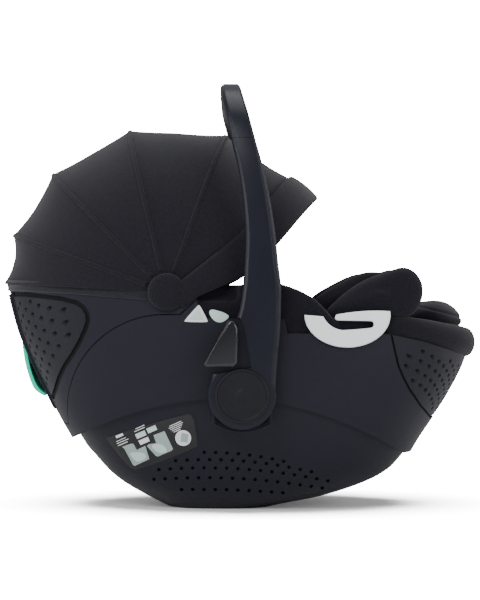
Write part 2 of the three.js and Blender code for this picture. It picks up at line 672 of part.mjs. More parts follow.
// A sprung wire bow in the cloth, along one rib.
function rib(number) {
  const size = { radius: FAN.radius - 4.4, half: FAN.half - 4.8 };
  const points = shares(44, 14).map((share) => fanPoint(RIBS[number], share, size));
  const path = new THREE.CatmullRomCurve3(points);
  const turn = THREE.MathUtils.degToRad(RIBS[number]);
  const sideways = new THREE.Vector3(-Math.sin(turn), 0, Math.cos(turn));
  const rings = points.map((p, i) => {
    const out = path.getTangent(i / (points.length - 1)).cross(sideways).normalize();
    return Array.from({ length: 5 }, (_, k) => {
      const round = (2 * Math.PI * k) / 5;
      return p.clone().addScaledVector(sideways, 2 * Math.cos(round)).addScaledVector(out, 2 * Math.sin(round));
    });
  });
  return loft(rings);
}

// The front band's two edges: the seam with the last gore, and the free edge a band's width before it.
const BAND_WIDTH = 49;
function bandPoint(share, across, size) {
  const onSeam = fanPoint(RIBS[5], share, size);
  const r = Math.hypot(onSeam.x - FAN.x, onSeam.z - FAN.z);
  const turned = THREE.MathUtils.radToDeg(Math.asin(Math.min(1, (BAND_WIDTH * across) / (r + 8 * across))));
  const turn = THREE.MathUtils.degToRad(seamAngle(r) - 0.4 - turned);
  const reach = r * (1 + 0.045 * across * (r / FAN.radius));
  const flare = 1 + 0.028 * (1 - THREE.MathUtils.smoothstep(r, 50, 120)); // it passes outside the rim
  return new THREE.Vector3(FAN.x + reach * Math.cos(turn), onSeam.y * flare, FAN.z + reach * Math.sin(turn));
}

function frontBand() {
  const grid = (inwards) =>
    [0, 0.33, 0.67, 1].map((across) =>
      shares(42, 20).map((share) =>
        bandPoint(share, across, { radius: FAN.radius + 3 - inwards, half: FAN.half + 3 - inwards })),
    );
  return sheet(grid(0), grid(3));
}

// The stiff hoop inside the band, with a round hinge plate at each end.
const HINGE_PLATE = 22;
function frontBow() {
  const grid = (inwards) =>
    [0.08, 0.5].map((across) =>
      shares(44, 18).map((share) =>
        bandPoint(share, across, { radius: FAN.radius - 1 - inwards, half: FAN.half - 1 - inwards })),
    );
  let hoop = sheet(grid(0), grid(2.6));
  for (const side of Object.values(SIDES)) {
    const tongue = slab([[-85, 300], [-48, 303], [-56, 324], [-86, 309]], ...span(side, 170, 181.6));
    hoop = hoop.add(disc(FAN.x, FAN.z, HINGE_PLATE, ...span(side, 166.4, 172), 24)).add(tongue);
  }
  return hoop.subtract(disc(FAN.x, FAN.z, PIN_RADIUS + GAP, -FAR, FAR, 20));
}

// The round cap outside the rim, with the pin that the hinge plate turns on.
function canopyPivot(side) {
  return disc(FAN.x, FAN.z, 24, ...span(side, 185, 189.6), 28).add(disc(FAN.x, FAN.z, PIN_RADIUS, ...span(side, 166, 186), 12));
}

// The binding that holds the canopy's lower edge to the rim of the back shell.
function rimBand() {
  const strip = slab([[-FAR, 301], [-333, 301], [-240, 297], [-150, 289.5], [-128, 288], [-128, 299], [-150, 301.5],
    [-240, 309], [-333, 314], [-FAR, 314]]);
  return hull(UPPER, 2.6).subtract(hull(UPPER, GAP)).intersect(strip);
}

// ---------------------------------------------------------------- materials and the assembly
function plastic(color, roughness = 0.6) {
  return new THREE.MeshStandardMaterial({ color, roughness, metalness: 0 });
}
const FINISH = {
  shell: plastic(0x232429, 0.55),
  vent: plastic(0x2b2b2f, 0.6),
  handle: plastic(0x23252b, 0.4),
  guide: new THREE.MeshStandardMaterial({ color: 0xcfd6df, roughness: 0.35, metalness: 0.1 }),
  release: plastic(0x1fd6ae, 0.45),
  red: plastic(0xb01c1c, 0.4),
  canopy: plastic(0x1f1f22, 0.95),
  cover: plastic(0x19191c, 0.95),
  foam: plastic(0x3a3a3d, 0.9),
  webbing: plastic(0x161618, 0.8),
  label: plastic(0x1c1c1e, 0.3),
  steel: new THREE.MeshStandardMaterial({ color: 0xb6b8bb, roughness: 0.35, metalness: 1 }),
};

const seat = new THREE.Group();

function add(name, made, material) {
  const { numProp, vertProperties, triVerts } = made.getMesh();
  const points = [];
  for (let i = 0; i < vertProperties.length; i += numProp)
    points.push(new THREE.Vector3(...vertProperties.subarray(i, i + 3)));
  const mesh = new THREE.Mesh(indexed(points, Array.from(triVerts)), material);
  mesh.geometry.computeVertexNormals();
  mesh.name = name;
  seat.add(mesh);
}

add("lower_shell", lowerShell(), FINISH.shell);
add("back_shell", backShell(), FINISH.shell);
add("foot_vent_panel", footVent(), FINISH.vent);
add("foam_liner", foamLiner(), FINISH.foam);
add("seat_cover", seatCover(), FINISH.cover);
add("cover_foot_roll", footRoll(0), FINISH.cover);
add("inlay_pad", inlayPad(), FINISH.cover);
add("leg_roll", legRoll(), FINISH.cover);
add("headrest_cushion", headrestCushion(), FINISH.cover);
add("headrest_frame", headrestFrame(), FINISH.shell);
add("buckle_body", buckleBody(), FINISH.shell);
add("buckle_button", buckleButton(), FINISH.red);
add("buckle_tongues", buckleTongues(), FINISH.steel);
add("crotch_strap", crotchStrap(), FINISH.webbing);
add("adjuster_housing", adjusterHousing(), FINISH.shell);
add("adjuster_button", adjusterButton(), FINISH.release);
add("release_bezel", releaseBezel(), FINISH.shell);
add("release_handle", releaseHandle(), FINISH.release);
add("dock_bar_rear", dockBar(DOCK.rear + 18), FINISH.steel);
add("dock_bar_front", dockBar(DOCK.front - 18), FINISH.steel);
add("info_label", infoLabel(), FINISH.label);
add("canopy_rim_band", rimBand(), FINISH.canopy);
for (let number = 1; number <= 5; number++) add(`canopy_gore_${number}`, gore(number), FINISH.canopy);
for (let number = 1; number <= 4; number++) add(`canopy_rib_${number}`, rib(number), FINISH.steel);
add("canopy_front_band", frontBand(), FINISH.canopy);
add("canopy_front_bow", frontBow(), FINISH.shell);

const bar = handleBar();
add("handle_bow", handleBow(bar), FINISH.handle);
for (const [name, side] of Object.entries(SIDES)) {
  add(`handle_arm_${name}`, handleArm(side, bar), FINISH.handle);
  add(`hub_cap_${name}`, hubCap(side), FINISH.handle);
  add(`trigger_${name}`, trigger(side), FINISH.handle);
  add(`canopy_pivot_${name}`, canopyPivot(side), FINISH.shell);
  add(`pivot_axle_${name}`, pivotAxle(side), FINISH.steel);
  add(`lock_gear_${name}`, lockGear(side), FINISH.shell);
  add(`adapter_socket_${name}`, adapterSocket(side), FINISH.shell);
  add(`belt_guide_${name}`, beltGuide(side), FINISH.guide);
  add(`rear_vent_panel_${name}`, rearVent(side), FINISH.vent);
  add(`inlay_wing_${name}`, inlayWing(side), FINISH.cover);
  add(`shoulder_strap_${name}`, shoulderStrap(side), FINISH.webbing);
  add(`shoulder_pad_${name}`, shoulderPad(side), FINISH.cover);
  add(`lap_strap_${name}`, lapStrap(side), FINISH.webbing);
}

export default seat;
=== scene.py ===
"""Infant car seat: a perforated rocker bucket, a carry handle, a ribbed fan canopy and soft seat goods."""
import math

import bmesh
import bpy
from mathutils import Matrix, Vector, noise


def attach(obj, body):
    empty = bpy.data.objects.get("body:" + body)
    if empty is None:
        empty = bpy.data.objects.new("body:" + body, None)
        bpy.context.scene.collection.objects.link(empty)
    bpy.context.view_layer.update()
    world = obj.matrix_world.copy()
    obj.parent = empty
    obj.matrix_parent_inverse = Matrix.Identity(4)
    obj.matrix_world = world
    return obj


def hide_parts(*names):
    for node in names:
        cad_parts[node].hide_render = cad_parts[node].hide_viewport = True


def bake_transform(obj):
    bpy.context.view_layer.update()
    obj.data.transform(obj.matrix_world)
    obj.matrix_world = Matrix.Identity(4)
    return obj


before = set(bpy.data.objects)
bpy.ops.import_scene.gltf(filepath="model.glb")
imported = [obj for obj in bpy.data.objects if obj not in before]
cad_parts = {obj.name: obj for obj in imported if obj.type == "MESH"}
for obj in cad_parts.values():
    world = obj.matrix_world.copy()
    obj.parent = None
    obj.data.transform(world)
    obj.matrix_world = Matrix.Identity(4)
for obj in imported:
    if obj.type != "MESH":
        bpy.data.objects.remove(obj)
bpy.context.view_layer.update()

MM = 0.001
FAR = 700
NEAR, AWAY = -1, 1  # the right side, towards the camera, and the left side
SIDE_NAMES = {NEAR: "right", AWAY: "left"}

# ------------------------------------------------------------------ camera, floor and light
camera_data = bpy.data.cameras.new("view")
camera_data.lens = 147.9
camera_data.sensor_width = 36
camera_data.clip_end = 50
camera = bpy.data.objects.new("view", camera_data)
bpy.context.scene.collection.objects.link(camera)
camera.location = (0, -3.5, 0.288)
camera.rotation_euler = (math.radians(90), 0, 0)
bpy.context.scene.camera = camera


# ---------------------------------------------------------- curves and the body's shape, in millimetres
def through(pairs):
    """A smooth graph through (t, value) pairs, flat beyond its ends."""
    last = len(pairs) - 1

    def slope(i):
        (t0, a), (t1, b) = pairs[max(i - 1, 0)], pairs[min(i + 1, last)]
        return (b - a) / (t1 - t0)

    def graph(t):
        i = 0
        while i < last - 1 and t > pairs[i + 1][0]:
            i += 1
        (t0, a), (t1, b) = pairs[i], pairs[i + 1]
        h = t1 - t0
        u = min(max((t - t0) / h, 0), 1)
        v = 1 - u
        return v * v * ((1 + 2 * u) * a + u * h * slope(i)) + u * u * ((1 + 2 * v) * b - v * h * slope(i + 1))

    return graph


def smooth(t, low, high):
    """0 below low, 1 above high, and smooth between."""
    u = min(max((t - low) / (high - low), 0), 1)
    return u * u * (3 - 2 * u)


def rounded(value, power):
    """cos or sin raised to a superellipse's power, keeping its sign."""
    return math.copysign(abs(value) ** (2 / power), value)


class Hull:
    """A stack of superellipses: its start and end along X and its half width, by height."""

    def __init__(self, foot, top, rear, front, half, power):
        self.foot, self.top, self.power = foot, top, power
        self.rear, self.front, self.half = through(rear), through(front), through(half)

    def point(self, height, turn, grow=0):
        rise = grow * min(max(1 - (height - self.foot) / 60, 0), 1)
        rear, front = self.rear(height) - grow, self.front(height) + grow
        x = (rear + front) / 2 + (front - rear) / 2 * rounded(math.cos(turn), self.power)
        return Vector((x, (self.half(height) + grow) * rounded(math.sin(turn), self.power), height - rise))

    def side(self, x, z, grow=0):
        """The distance of the side wall from the middle plane, where x and z meet it."""
        rear, front = self.rear(z) - grow, self.front(z) + grow
        reach = min(abs(x - (rear + front) / 2) / ((front - rear) / 2), 0.999)
        return (self.half(z) + grow) * (1 - reach**self.power) ** (1 / self.power)


BASE = Hull(
    0, 168,
    [(0, -104), (4, -112), (14, -132), (30, -161), (48, -184), (70, -204), (88, -219), (168, -264)],
    [(0, 48), (4, 66), (14, 118), (30, 170), (48, 206), (70, 228), (88, 240), (168, 288)],
    [(0, 98), (14, 116), (30, 131), (48, 142), (70, 151), (88, 158), (120, 168), (168, 177)], 2.7)
UPPER = Hull(
    76, 330,
    [(76, -229), (93, -236.5), (120, -252), (155, -270), (204, -294), (250, -312), (330, -332)],
    [(76, 242), (93, 252), (120, 270), (155, 293), (204, 317.5), (250, 327), (330, 331)],
    [(76, 163), (93, 167), (120, 174), (155, 181), (204, 185), (264, 184), (330, 180)], 2.7)
HOLLOW = Hull(
    64, 345,
    [(64, -6), (72, -32), (90, -70), (120, -118), (180, -198), (235, -258), (290, -300), (345, -322)],
    [(64, 48), (72, 72), (90, 108), (120, 160), (180, 236), (235, 292), (290, 318), (345, 330)],
    [(64, 58), (72, 76), (90, 98), (120, 118), (180, 140), (235, 150), (290, 156), (345, 160)], 2.5)
WALL = 3.2

SEAM_X, SEAM_Z, SEAM_R = -100, 130, 138  # the round seam between the back shell and the lower shell
RIM_LINE = [(-FAR, 309), (-333, 308), (-240, 304), (-150, 297), (-60, 295), (-52, 264), (60, 262), (64, 243),
            (200, 242), (252, 231), (335, 204), (FAR, 170)]
FOOT_VENT = [(203, 500), (203, 242), (208, 220), (213, 199), (221, 181), (230, 165), (246, 143), (264, 124),
             (FAR, 124), (FAR, 500)]
REAR_VENT = [(-FAR, 150), (-258, 150), (-252, 163), (-246, 179), (-237, 196), (-225, 213), (-215, 230),
             (-207, 247), (-203, 259), (-204, 270), (-210, 280), (-220, 287), (-244, 293), (-296, 299), (-FAR, 302)]
REAR_PLATE_HALF = 60


# ------------------------------------------------------------------ making pieces
def deselect():
    for thing in bpy.context.selected_objects:
        thing.select_set(False)


def only(piece):
    deselect()
    piece.select_set(True)
    bpy.context.view_layer.objects.active = piece


def apply_modifiers(piece):
    only(piece)
    for modifier in list(piece.modifiers):
        bpy.ops.object.modifier_apply(modifier=modifier.name)


def edit(piece, steps):
    """Runs steps on the piece's bmesh and writes it back."""
    work = bmesh.new()
    work.from_mesh(piece.data)
    steps(work)
    work.to_mesh(piece.data)
    work.free()
    piece.data.update()


def tidy_mesh(piece, distance=0.02 * MM):
    def steps(work):
        bmesh.ops.remove_doubles(work, verts=work.verts, dist=distance)
        bmesh.ops.dissolve_degenerate(work, edges=work.edges, dist=distance)
        bmesh.ops.recalc_face_normals(work, faces=work.faces)

    edit(piece, steps)


def surface(name, columns, rows, place, closed=False):
    """A grid bent into shape: place(u, v) gives each point in mm; closed joins its two long edges."""
    deselect()
    bpy.ops.mesh.primitive_grid_add(x_subdivisions=columns, y_subdivisions=rows, size=1)
    piece = bpy.context.active_object
    piece.name = piece.data.name = name
    for vertex in piece.data.vertices:
        vertex.co = place(vertex.co.x + 0.5, vertex.co.y + 0.5) * MM
    if closed:
        edit(piece, lambda work: bmesh.ops.remove_doubles(work, verts=work.verts, dist=0.01 * MM))
    return piece


def close_ends(piece):
    def steps(work):
        rims = [edge for edge in work.edges if edge.is_boundary]
        bmesh.ops.holes_fill(work, edges=rims, sides=0)
        bmesh.ops.recalc_face_normals(work, faces=work.faces)

    edit(piece, steps)
    return piece


def hull_solid(name, hull, grow=0, low=None, high=None, around=150, rows=44):
    low = hull.foot if low is None else low
    high = hull.top if high is None else high

    def place(u, v):
        # rows gather at the foot, where the wall turns under
        return hull.point(low + (high - low) * v**1.35, 2 * math.pi * u, grow)

    return close_ends(surface(name, around, rows, place, closed=True))


def prism(name, outline, low=-FAR, high=FAR, edge=0.0, segments=3, holes=()):
    """A side outline in X and Z, drawn out along Y from low to high, with its edges rounded by edge."""
    curve = bpy.data.curves.new(name, "CURVE")
    curve.dimensions = "2D"
    curve.fill_mode = "BOTH"
    for points in [outline, *holes]:
        spline = curve.splines.new("POLY")
        spline.points.add(len(points) - 1)
        for knot, (x, z) in zip(spline.points, points):
            knot.co = (x * MM, z * MM, 0, 1)
        spline.use_cyclic_u = True
    curve.extrude = (high - low) / 2 * MM - edge * MM
    curve.bevel_depth = edge * MM
    curve.bevel_resolution = segments
    curve.offset = -edge * MM
    piece = bpy.data.objects.new(name, curve)
    bpy.context.scene.collection.objects.link(piece)
    only(piece)
    bpy.ops.object.convert(target="MESH")
    piece = bpy.context.active_object
    middle = Matrix.Translation((0, (low + high) / 2 * MM, 0))
    piece.data.transform(middle @ Matrix.Rotation(math.radians(90), 4, "X"))
    tidy_mesh(piece)
    return piece


def block(name, x0, x1, y0, y1, z0, z1):
    deselect()
    bpy.ops.mesh.primitive_cube_add(size=1)
    piece = bpy.context.active_object
    piece.name = piece.data.name = name
    size = Vector((x1 - x0, y1 - y0, z1 - z0)) * MM
    middle = Vector((x0 + x1, y0 + y1, z0 + z1)) * MM / 2
    piece.data.transform(Matrix.Translation(middle) @ Matrix.Diagonal((*size, 1)))
    return piece


def round_bar(name, x, z, radius, y0, y1, vertices=64, edge=0.0):
    """A round bar along Y, with its two edges rounded."""
    deselect()
    bpy.ops.mesh.primitive_cylinder_add(vertices=vertices, radius=radius * MM, depth=(y1 - y0) * MM)
    piece = bpy.context.active_object
    piece.name = piece.data.name = name
    if edge:
        bevel(piece, edge, 3)
    piece.data.transform(
        Matrix.Translation((x * MM, (y0 + y1) / 2 * MM, z * MM)) @ Matrix.Rotation(math.radians(90), 4, "X"))
    return piece


def bevel(piece, width, segments=2, angle=30):
    rounding = piece.modifiers.new("edge", "BEVEL")
    rounding.width = width * MM
    rounding.segments = segments
    rounding.limit_method = "ANGLE"
    rounding.angle_limit = math.radians(angle)
    rounding.harden_normals = False
    apply_modifiers(piece)


def span(side, inner, outer):
    return (inner, outer) if side > 0 else (-outer, -inner)


def carve(piece, cutter, operation="DIFFERENCE", keep=False):
    boolean = piece.modifiers.new("carve", "BOOLEAN")
    boolean.operation = operation
    boolean.solver = "EXACT"
    boolean.object = cutter
    apply_modifiers(piece)
    if not keep:
        bpy.data.objects.remove(cutter, do_unlink=True)
    return piece


def copy_of(piece, name):
    twin = piece.copy()
    twin.data = piece.data.copy()
    twin.name = twin.data.name = name
    bpy.context.scene.collection.objects.link(twin)
    return twin


def join(name, pieces):
    deselect()
    for piece in pieces:
        piece.select_set(True)
    bpy.context.view_layer.objects.active = pieces[0]
    bpy.ops.object.join()
    pieces[0].name = pieces[0].data.name = name
    return pieces[0]


def crease_shading(piece, degrees=35):
    only(piece)
    bpy.ops.object.shade_smooth_by_angle(angle=math.radians(degrees))
    return piece


def inset(points, distance):
    """An anticlockwise outline with each side moved inwards."""
    count = len(points)

    def side_normal(i):
        (ax, az), (bx, bz) = points[i % count], points[(i + 1) % count]
        length = math.hypot(bx - ax, bz - az)
        return -(bz - az) / length, (bx - ax) / length

    moved = []
    for i, (x, z) in enumerate(points):
        (px, pz), (qx, qz) = side_normal(i - 1), side_normal(i)
        k = distance / (1 + px * qx + pz * qz)
        moved.append((x + k * (px + qx), z + k * (pz + qz)))
    return moved


def softened(points, rounds=2, cut=0.25):
    """The closed outline with its corners cut off, again and again, by a share of each side."""
    for _ in range(rounds):
        made = []
        for (ax, az), (bx, bz) in zip(points, points[1:] + points[:1]):
            dx, dz = (bx - ax) * cut, (bz - az) * cut
            made += [(ax + dx, az + dz), (bx - dx, bz - dz)]
        points = made
        cut = 0.25
    return points


# ------------------------------------------------------------------ finishes
def socket(group, name, kind, default=None, output=False):
    made = group.interface.new_socket(name=name, in_out="OUTPUT" if output else "INPUT", socket_type=kind)
    if default is not None:
        made.default_value = default
    return made


def link(tree, source, target):
    tree.links.new(source, target)


def moulded_grain_group():
    """Fine spark-eroded grain: a bump normal, and a slow mottling of the gloss."""
    group = bpy.data.node_groups.new("moulded grain", "ShaderNodeTree")
    socket(group, "Scale", "NodeSocketFloat", 1400)
    socket(group, "Depth", "NodeSocketFloat", 0.25)
    socket(group, "Roughness", "NodeSocketFloat", 0.5)
    socket(group, "Color", "NodeSocketColor", (0.02, 0.02, 0.022, 1))
    socket(group, "Color", "NodeSocketColor", output=True)
    socket(group, "Roughness", "NodeSocketFloat", output=True)
    socket(group, "Normal", "NodeSocketVector", output=True)
    nodes = group.nodes
    given, out = nodes.new("NodeGroupInput"), nodes.new("NodeGroupOutput")
    place = nodes.new("ShaderNodeTexCoord")
    grain = nodes.new("ShaderNodeTexNoise")
    grain.inputs["Detail"].default_value = 2
    cloudy = nodes.new("ShaderNodeTexNoise")
    cloudy.inputs["Scale"].default_value = 9
    cloudy.inputs["Detail"].default_value = 3
    bump = nodes.new("ShaderNodeBump")
    bump.inputs["Distance"].default_value = 0.0004
    vary = nodes.new("ShaderNodeMapRange")
    vary.inputs["From Min"].default_value, vary.inputs["From Max"].default_value = 0.3, 0.7
    vary.inputs["To Min"].default_value, vary.inputs["To Max"].default_value = -0.04, 0.05
    total = nodes.new("ShaderNodeMath")
    shade = nodes.new("ShaderNodeMapRange")
    shade.inputs["From Min"].default_value, shade.inputs["From Max"].default_value = 0.25, 0.75
    shade.inputs["To Min"].default_value, shade.inputs["To Max"].default_value = 0.9, 1.12
    tint = nodes.new("ShaderNodeVectorMath")
    tint.operation = "SCALE"
    link(group, place.outputs["Object"], grain.inputs["Vector"])
    link(group, place.outputs["Object"], cloudy.inputs["Vector"])
    link(group, given.outputs["Scale"], grain.inputs["Scale"])
    link(group, given.outputs["Depth"], bump.inputs["Strength"])
    link(group, grain.outputs["Fac"], bump.inputs["Height"])
    link(group, cloudy.outputs["Fac"], vary.inputs["Value"])
    link(group, vary.outputs["Result"], total.inputs[0])
    link(group, given.outputs["Roughness"], total.inputs[1])
    link(group, grain.outputs["Fac"], shade.inputs["Value"])
    link(group, given.outputs["Color"], tint.inputs[0])
    link(group, shade.outputs["Result"], tint.inputs["Scale"])
    link(group, tint.outputs["Vector"], out.inputs["Color"])
    link(group, total.outputs["Value"], out.inputs["Roughness"])
    link(group, bump.outputs["Normal"], out.inputs["Normal"])
    return group


def jersey_group():
    """Fine knitted cloth on the piece's own coordinates: rows of small stitches with a little melange."""
    group = bpy.data.node_groups.new("jersey knit", "ShaderNodeTree")
    socket(group, "Color", "NodeSocketColor", (0.018, 0.018, 0.021, 1))
    socket(group, "Stitches", "NodeSocketFloat", 900)
    socket(group, "Depth", "NodeSocketFloat", 0.5)
    socket(group, "Color", "NodeSocketColor", output=True)
    socket(group, "Normal", "NodeSocketVector", output=True)
    nodes = group.nodes
    given, out = nodes.new("NodeGroupInput"), nodes.new("NodeGroupOutput")
    place = nodes.new("ShaderNodeTexCoord")
    ribs = nodes.new("ShaderNodeTexWave")
    ribs.bands_direction = "Z"
    ribs.inputs["Distortion"].default_value = 1.2
    ribs.inputs["Detail"].default_value = 1
    across = nodes.new("ShaderNodeTexWave")
    across.bands_direction = "X"
    across.inputs["Distortion"].default_value = 1.2
    melange = nodes.new("ShaderNodeTexNoise")
    melange.inputs["Scale"].default_value = 420
    melange.inputs["Detail"].default_value = 3
    product = nodes.new("ShaderNodeMath")
    product.operation = "MULTIPLY"
    bump = nodes.new("ShaderNodeBump")
    bump.inputs["Distance"].default_value = 0.0006
    shade = nodes.new("ShaderNodeMapRange")
    shade.inputs["From Min"].default_value, shade.inputs["From Max"].default_value = 0.25, 0.75
    shade.inputs["To Min"].default_value, shade.inputs["To Max"].default_value = 0.7, 1.35
    tint = nodes.new("ShaderNodeVectorMath")
    tint.operation = "SCALE"
    for wave in (ribs, across):
        link(group, place.outputs["Object"], wave.inputs["Vector"])
        link(group, given.outputs["Stitches"], wave.inputs["Scale"])
    link(group, place.outputs["Object"], melange.inputs["Vector"])
    link(group, ribs.outputs["Fac"], product.inputs[0])
    link(group, across.outputs["Fac"], product.inputs[1])
    link(group, product.outputs["Value"], bump.inputs["Height"])
    link(group, given.outputs["Depth"], bump.inputs["Strength"])
    link(group, melange.outputs["Fac"], shade.inputs["Value"])
    link(group, given.outputs["Color"], tint.inputs[0])
    link(group, shade.outputs["Result"], tint.inputs["Scale"])
    link(group, tint.outputs["Vector"], out.inputs["Color"])
    link(group, bump.outputs["Normal"], out.inputs["Normal"])
    return group


GRAIN, JERSEY = moulded_grain_group(), jersey_group()


def new_material(name):
    material = bpy.data.materials.new(name)
    material.use_nodes = True
    tree = material.node_tree
    return material, tree, tree.nodes["Principled BSDF"]


def moulded(name, color, roughness, depth=0.25, scale=1400, coat=0.0, metallic=0.0, specular=0.25):
    """Moulded plastic or metal with a fine grain."""
    material, tree, shader = new_material(name)
    grain = tree.nodes.new("ShaderNodeGroup")
    grain.node_tree = GRAIN
    grain.inputs["Color"].default_value = (*color, 1)
    grain.inputs["Roughness"].default_value = roughness
    grain.inputs["Depth"].default_value = depth
    grain.inputs["Scale"].default_value = scale
    shader.inputs["Metallic"].default_value = metallic
    shader.inputs["Coat Weight"].default_value = coat
    shader.inputs["Specular IOR Level"].default_value = specular
    for output in ("Color", "Roughness", "Normal"):
        link(tree, grain.outputs[output], shader.inputs["Base Color" if output == "Color" else output])
    return material


def knitted(name, color, sheen=0.25, stitches=900, depth=0.25):
    material, tree, shader = new_material(name)
    knit = tree.nodes.new("ShaderNodeGroup")
    knit.node_tree = JERSEY
    knit.inputs["Color"].default_value = (*color, 1)
    knit.inputs["Stitches"].default_value = stitches
    knit.inputs["Depth"].default_value = depth
    shader.inputs["Roughness"].default_value = 0.92
    shader.inputs["Specular IOR Level"].default_value = 0.12
    shader.inputs["Sheen Weight"].default_value = sheen
    shader.inputs["Sheen Roughness"].default_value = 0.5
    link(tree, knit.outputs["Color"], shader.inputs["Base Color"])
    link(tree, knit.outputs["Normal"], shader.inputs["Normal"])
    return material


SHELL_FINISH = moulded("shell plastic", (0.0080, 0.0078, 0.0160), 0.50)
VENT_FINISH = moulded("vent plastic", (0.0085, 0.0083, 0.0150), 0.52)
HANDLE_FINISH = moulded("handle plastic", (0.0070, 0.0078, 0.0160), 0.36, depth=0.12)
CAP_FINISH = moulded("hub cap plastic", (0.0060, 0.0060, 0.0105), 0.46, depth=0.2)
TRIGGER_FINISH = moulded("trigger plastic", (0.0060, 0.0062, 0.0100), 0.22, depth=0.05, specular=0.6)
GUIDE_FINISH = moulded("silver paint", (0.95, 0.98, 1.0), 0.36,
                       depth=0.05, coat=0.3, metallic=0.0, specular=0.6)
RELEASE_FINISH = moulded("turquoise plastic", (0.008, 0.80, 0.50), 0.5, depth=0.08, specular=0.12)
BUTTON_FINISH = moulded("red plastic", (0.50, 0.012, 0.012), 0.32, depth=0.05)
STEEL_FINISH = moulded("zinc plated steel", (0.52, 0.52, 0.53), 0.34, depth=0.08, scale=600, metallic=1.0)
FOAM_FINISH = moulded("expanded foam", (0.045, 0.045, 0.05), 0.85, depth=0.9, scale=260)
CANOPY_CLOTH = knitted("canopy jersey", (0.0105, 0.0100, 0.0150), sheen=0.16)
COVER_CLOTH = knitted("cover jersey", (0.0085, 0.0080, 0.0130), sheen=0.12)
BINDING_CLOTH = knitted("binding tape", (0.0160, 0.0160, 0.0210), sheen=0.25, stitches=1500)
WEBBING_CLOTH = knitted("webbing", (0.0110, 0.0110, 0.0130), sheen=0.1, stitches=1300, depth=0.8)


def finish(piece, material, body, replaces=(), degrees=35):
    """Gives a finished piece its material, its body and the parts of the frame that it stands for."""
    piece.data.materials.clear()
    piece.data.materials.append(material)
    crease_shading(piece, degrees)
    if body:
        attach(piece, body)
    if replaces:
        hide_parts(*replaces)
    return piece


# ------------------------------------------------------------------ shaping helpers
class Path:
    """A smooth curve through points in millimetres, read by the share of its length."""

    def __init__(self, points, steps=24):
        ends = [points[0] * 2 - points[1], *points, points[-1] * 2 - points[-2]]
        self.samples = []
        for p0, p1, p2, p3 in zip(ends, ends[1:], ends[2:], ends[3:]):
            d0, d1, d2 = ((b - a).length ** 0.5 for a, b in ((p0, p1), (p1, p2), (p2, p3)))
            m1 = ((p1 - p0) / d0 - (p2 - p0) / (d0 + d1) + (p2 - p1) / d1) * d1
            m2 = ((p2 - p1) / d1 - (p3 - p1) / (d1 + d2) + (p3 - p2) / d2) * d1
            for i in range(steps):
                t = i / steps
                self.samples.append(
                    p1 * (2 * t**3 - 3 * t**2 + 1) + m1 * (t**3 - 2 * t**2 + t)
                    + p2 * (3 * t**2 - 2 * t**3) + m2 * (t**3 - t**2))
        self.samples.append(points[-1].copy())
        self.reach = [0.0]
        for a, b in zip(self.samples, self.samples[1:]):
            self.reach.append(self.reach[-1] + (b - a).length)
        self.length = self.reach[-1]

    def at(self, share):
        wanted = share * self.length
        low, high = 0, len(self.reach) - 2
        while low < high:
            middle = (low + high + 1) // 2
            if self.reach[middle] <= wanted:
                low = middle
            else:
                high = middle - 1
        step = self.reach[low + 1] - self.reach[low]
        return self.samples[low].lerp(self.samples[low + 1], (wanted - self.reach[low]) / step)

    def along(self, share):
        low, high = max(share - 0.004, 0), min(share + 0.004, 1)
        return (self.at(high) - self.at(low)).normalized()


def loft(name, rings):
    """A closed skin through rings of equally many points, with flat ends."""
    count, last = len(rings[0]), len(rings) - 1

    def place(u, v):
        return rings[round(v * last)][round(u * count) % count]

    return close_ends(surface(name, count, last, place, closed=True))


def shell_between(name, columns, rows, outer, thickness):
    """A sheet of even thickness under the outer surface."""
    piece = surface(name, columns, rows, outer)
    solidify = piece.modifiers.new("thickness", "SOLIDIFY")
    solidify.thickness = thickness * MM
    solidify.offset = -1
    solidify.use_even_offset = False
    return piece


def lay_on_hull(piece, hull, side, grow, step=4.0):
    """Bends a flat side-view piece onto the hull's wall; its own Y is its height off the wall."""
    xs = [vertex.co.x / MM for vertex in piece.data.vertices]
    zs = [vertex.co.z / MM for vertex in piece.data.vertices]

    def steps(work):
        for axis, values in ((Vector((1, 0, 0)), xs), (Vector((0, 0, 1)), zs)):
            at = math.ceil(min(values) / step) * step
            while at < max(values):
                everything = work.verts[:] + work.edges[:] + work.faces[:]
                bmesh.ops.bisect_plane(work, geom=everything, plane_co=axis * at * MM, plane_no=axis)
                at += step

    edit(piece, steps)
    for vertex in piece.data.vertices:
        x, height, z = vertex.co / MM
        vertex.co.y = side * (hull.side(x, z, grow) + height) * MM
    tidy_mesh(piece)
    return piece


def move_points(piece, shift):
    """Moves each point by shift(point, normal), in millimetres."""
    mesh = piece.data
    moves = [shift(vertex.co / MM, vertex.normal) * MM for vertex in mesh.vertices]
    for vertex, move in zip(mesh.vertices, moves):
        vertex.co += move
    mesh.update()


def sink_seam(piece, distance, width=2.2, depth=1.6):
    """Draws a stitched seam into a padded piece along the zero line of distance(point)."""
    move_points(piece, lambda p, n: n * (-depth * math.exp(-((distance(p) / width) ** 2))))


def rumple(piece, scale, height, seed=0.0):
    """Slow, soft unevenness, as in cloth over wadding."""
    offset = Vector((seed * 7.3, seed * 3.1, seed * 5.7))
    move_points(piece, lambda p, n: n * (height * noise.noise(p / scale + offset)))


def remesh(piece, voxel, smoothing=0):
    change = piece.modifiers.new("remesh", "REMESH")
    change.mode = "VOXEL"
    change.voxel_size = voxel * MM
    change.use_smooth_shade = True
    if smoothing:
        even = piece.modifiers.new("smooth", "SMOOTH")
        even.iterations = smoothing
        even.factor = 0.5
    apply_modifiers(piece)
    return piece


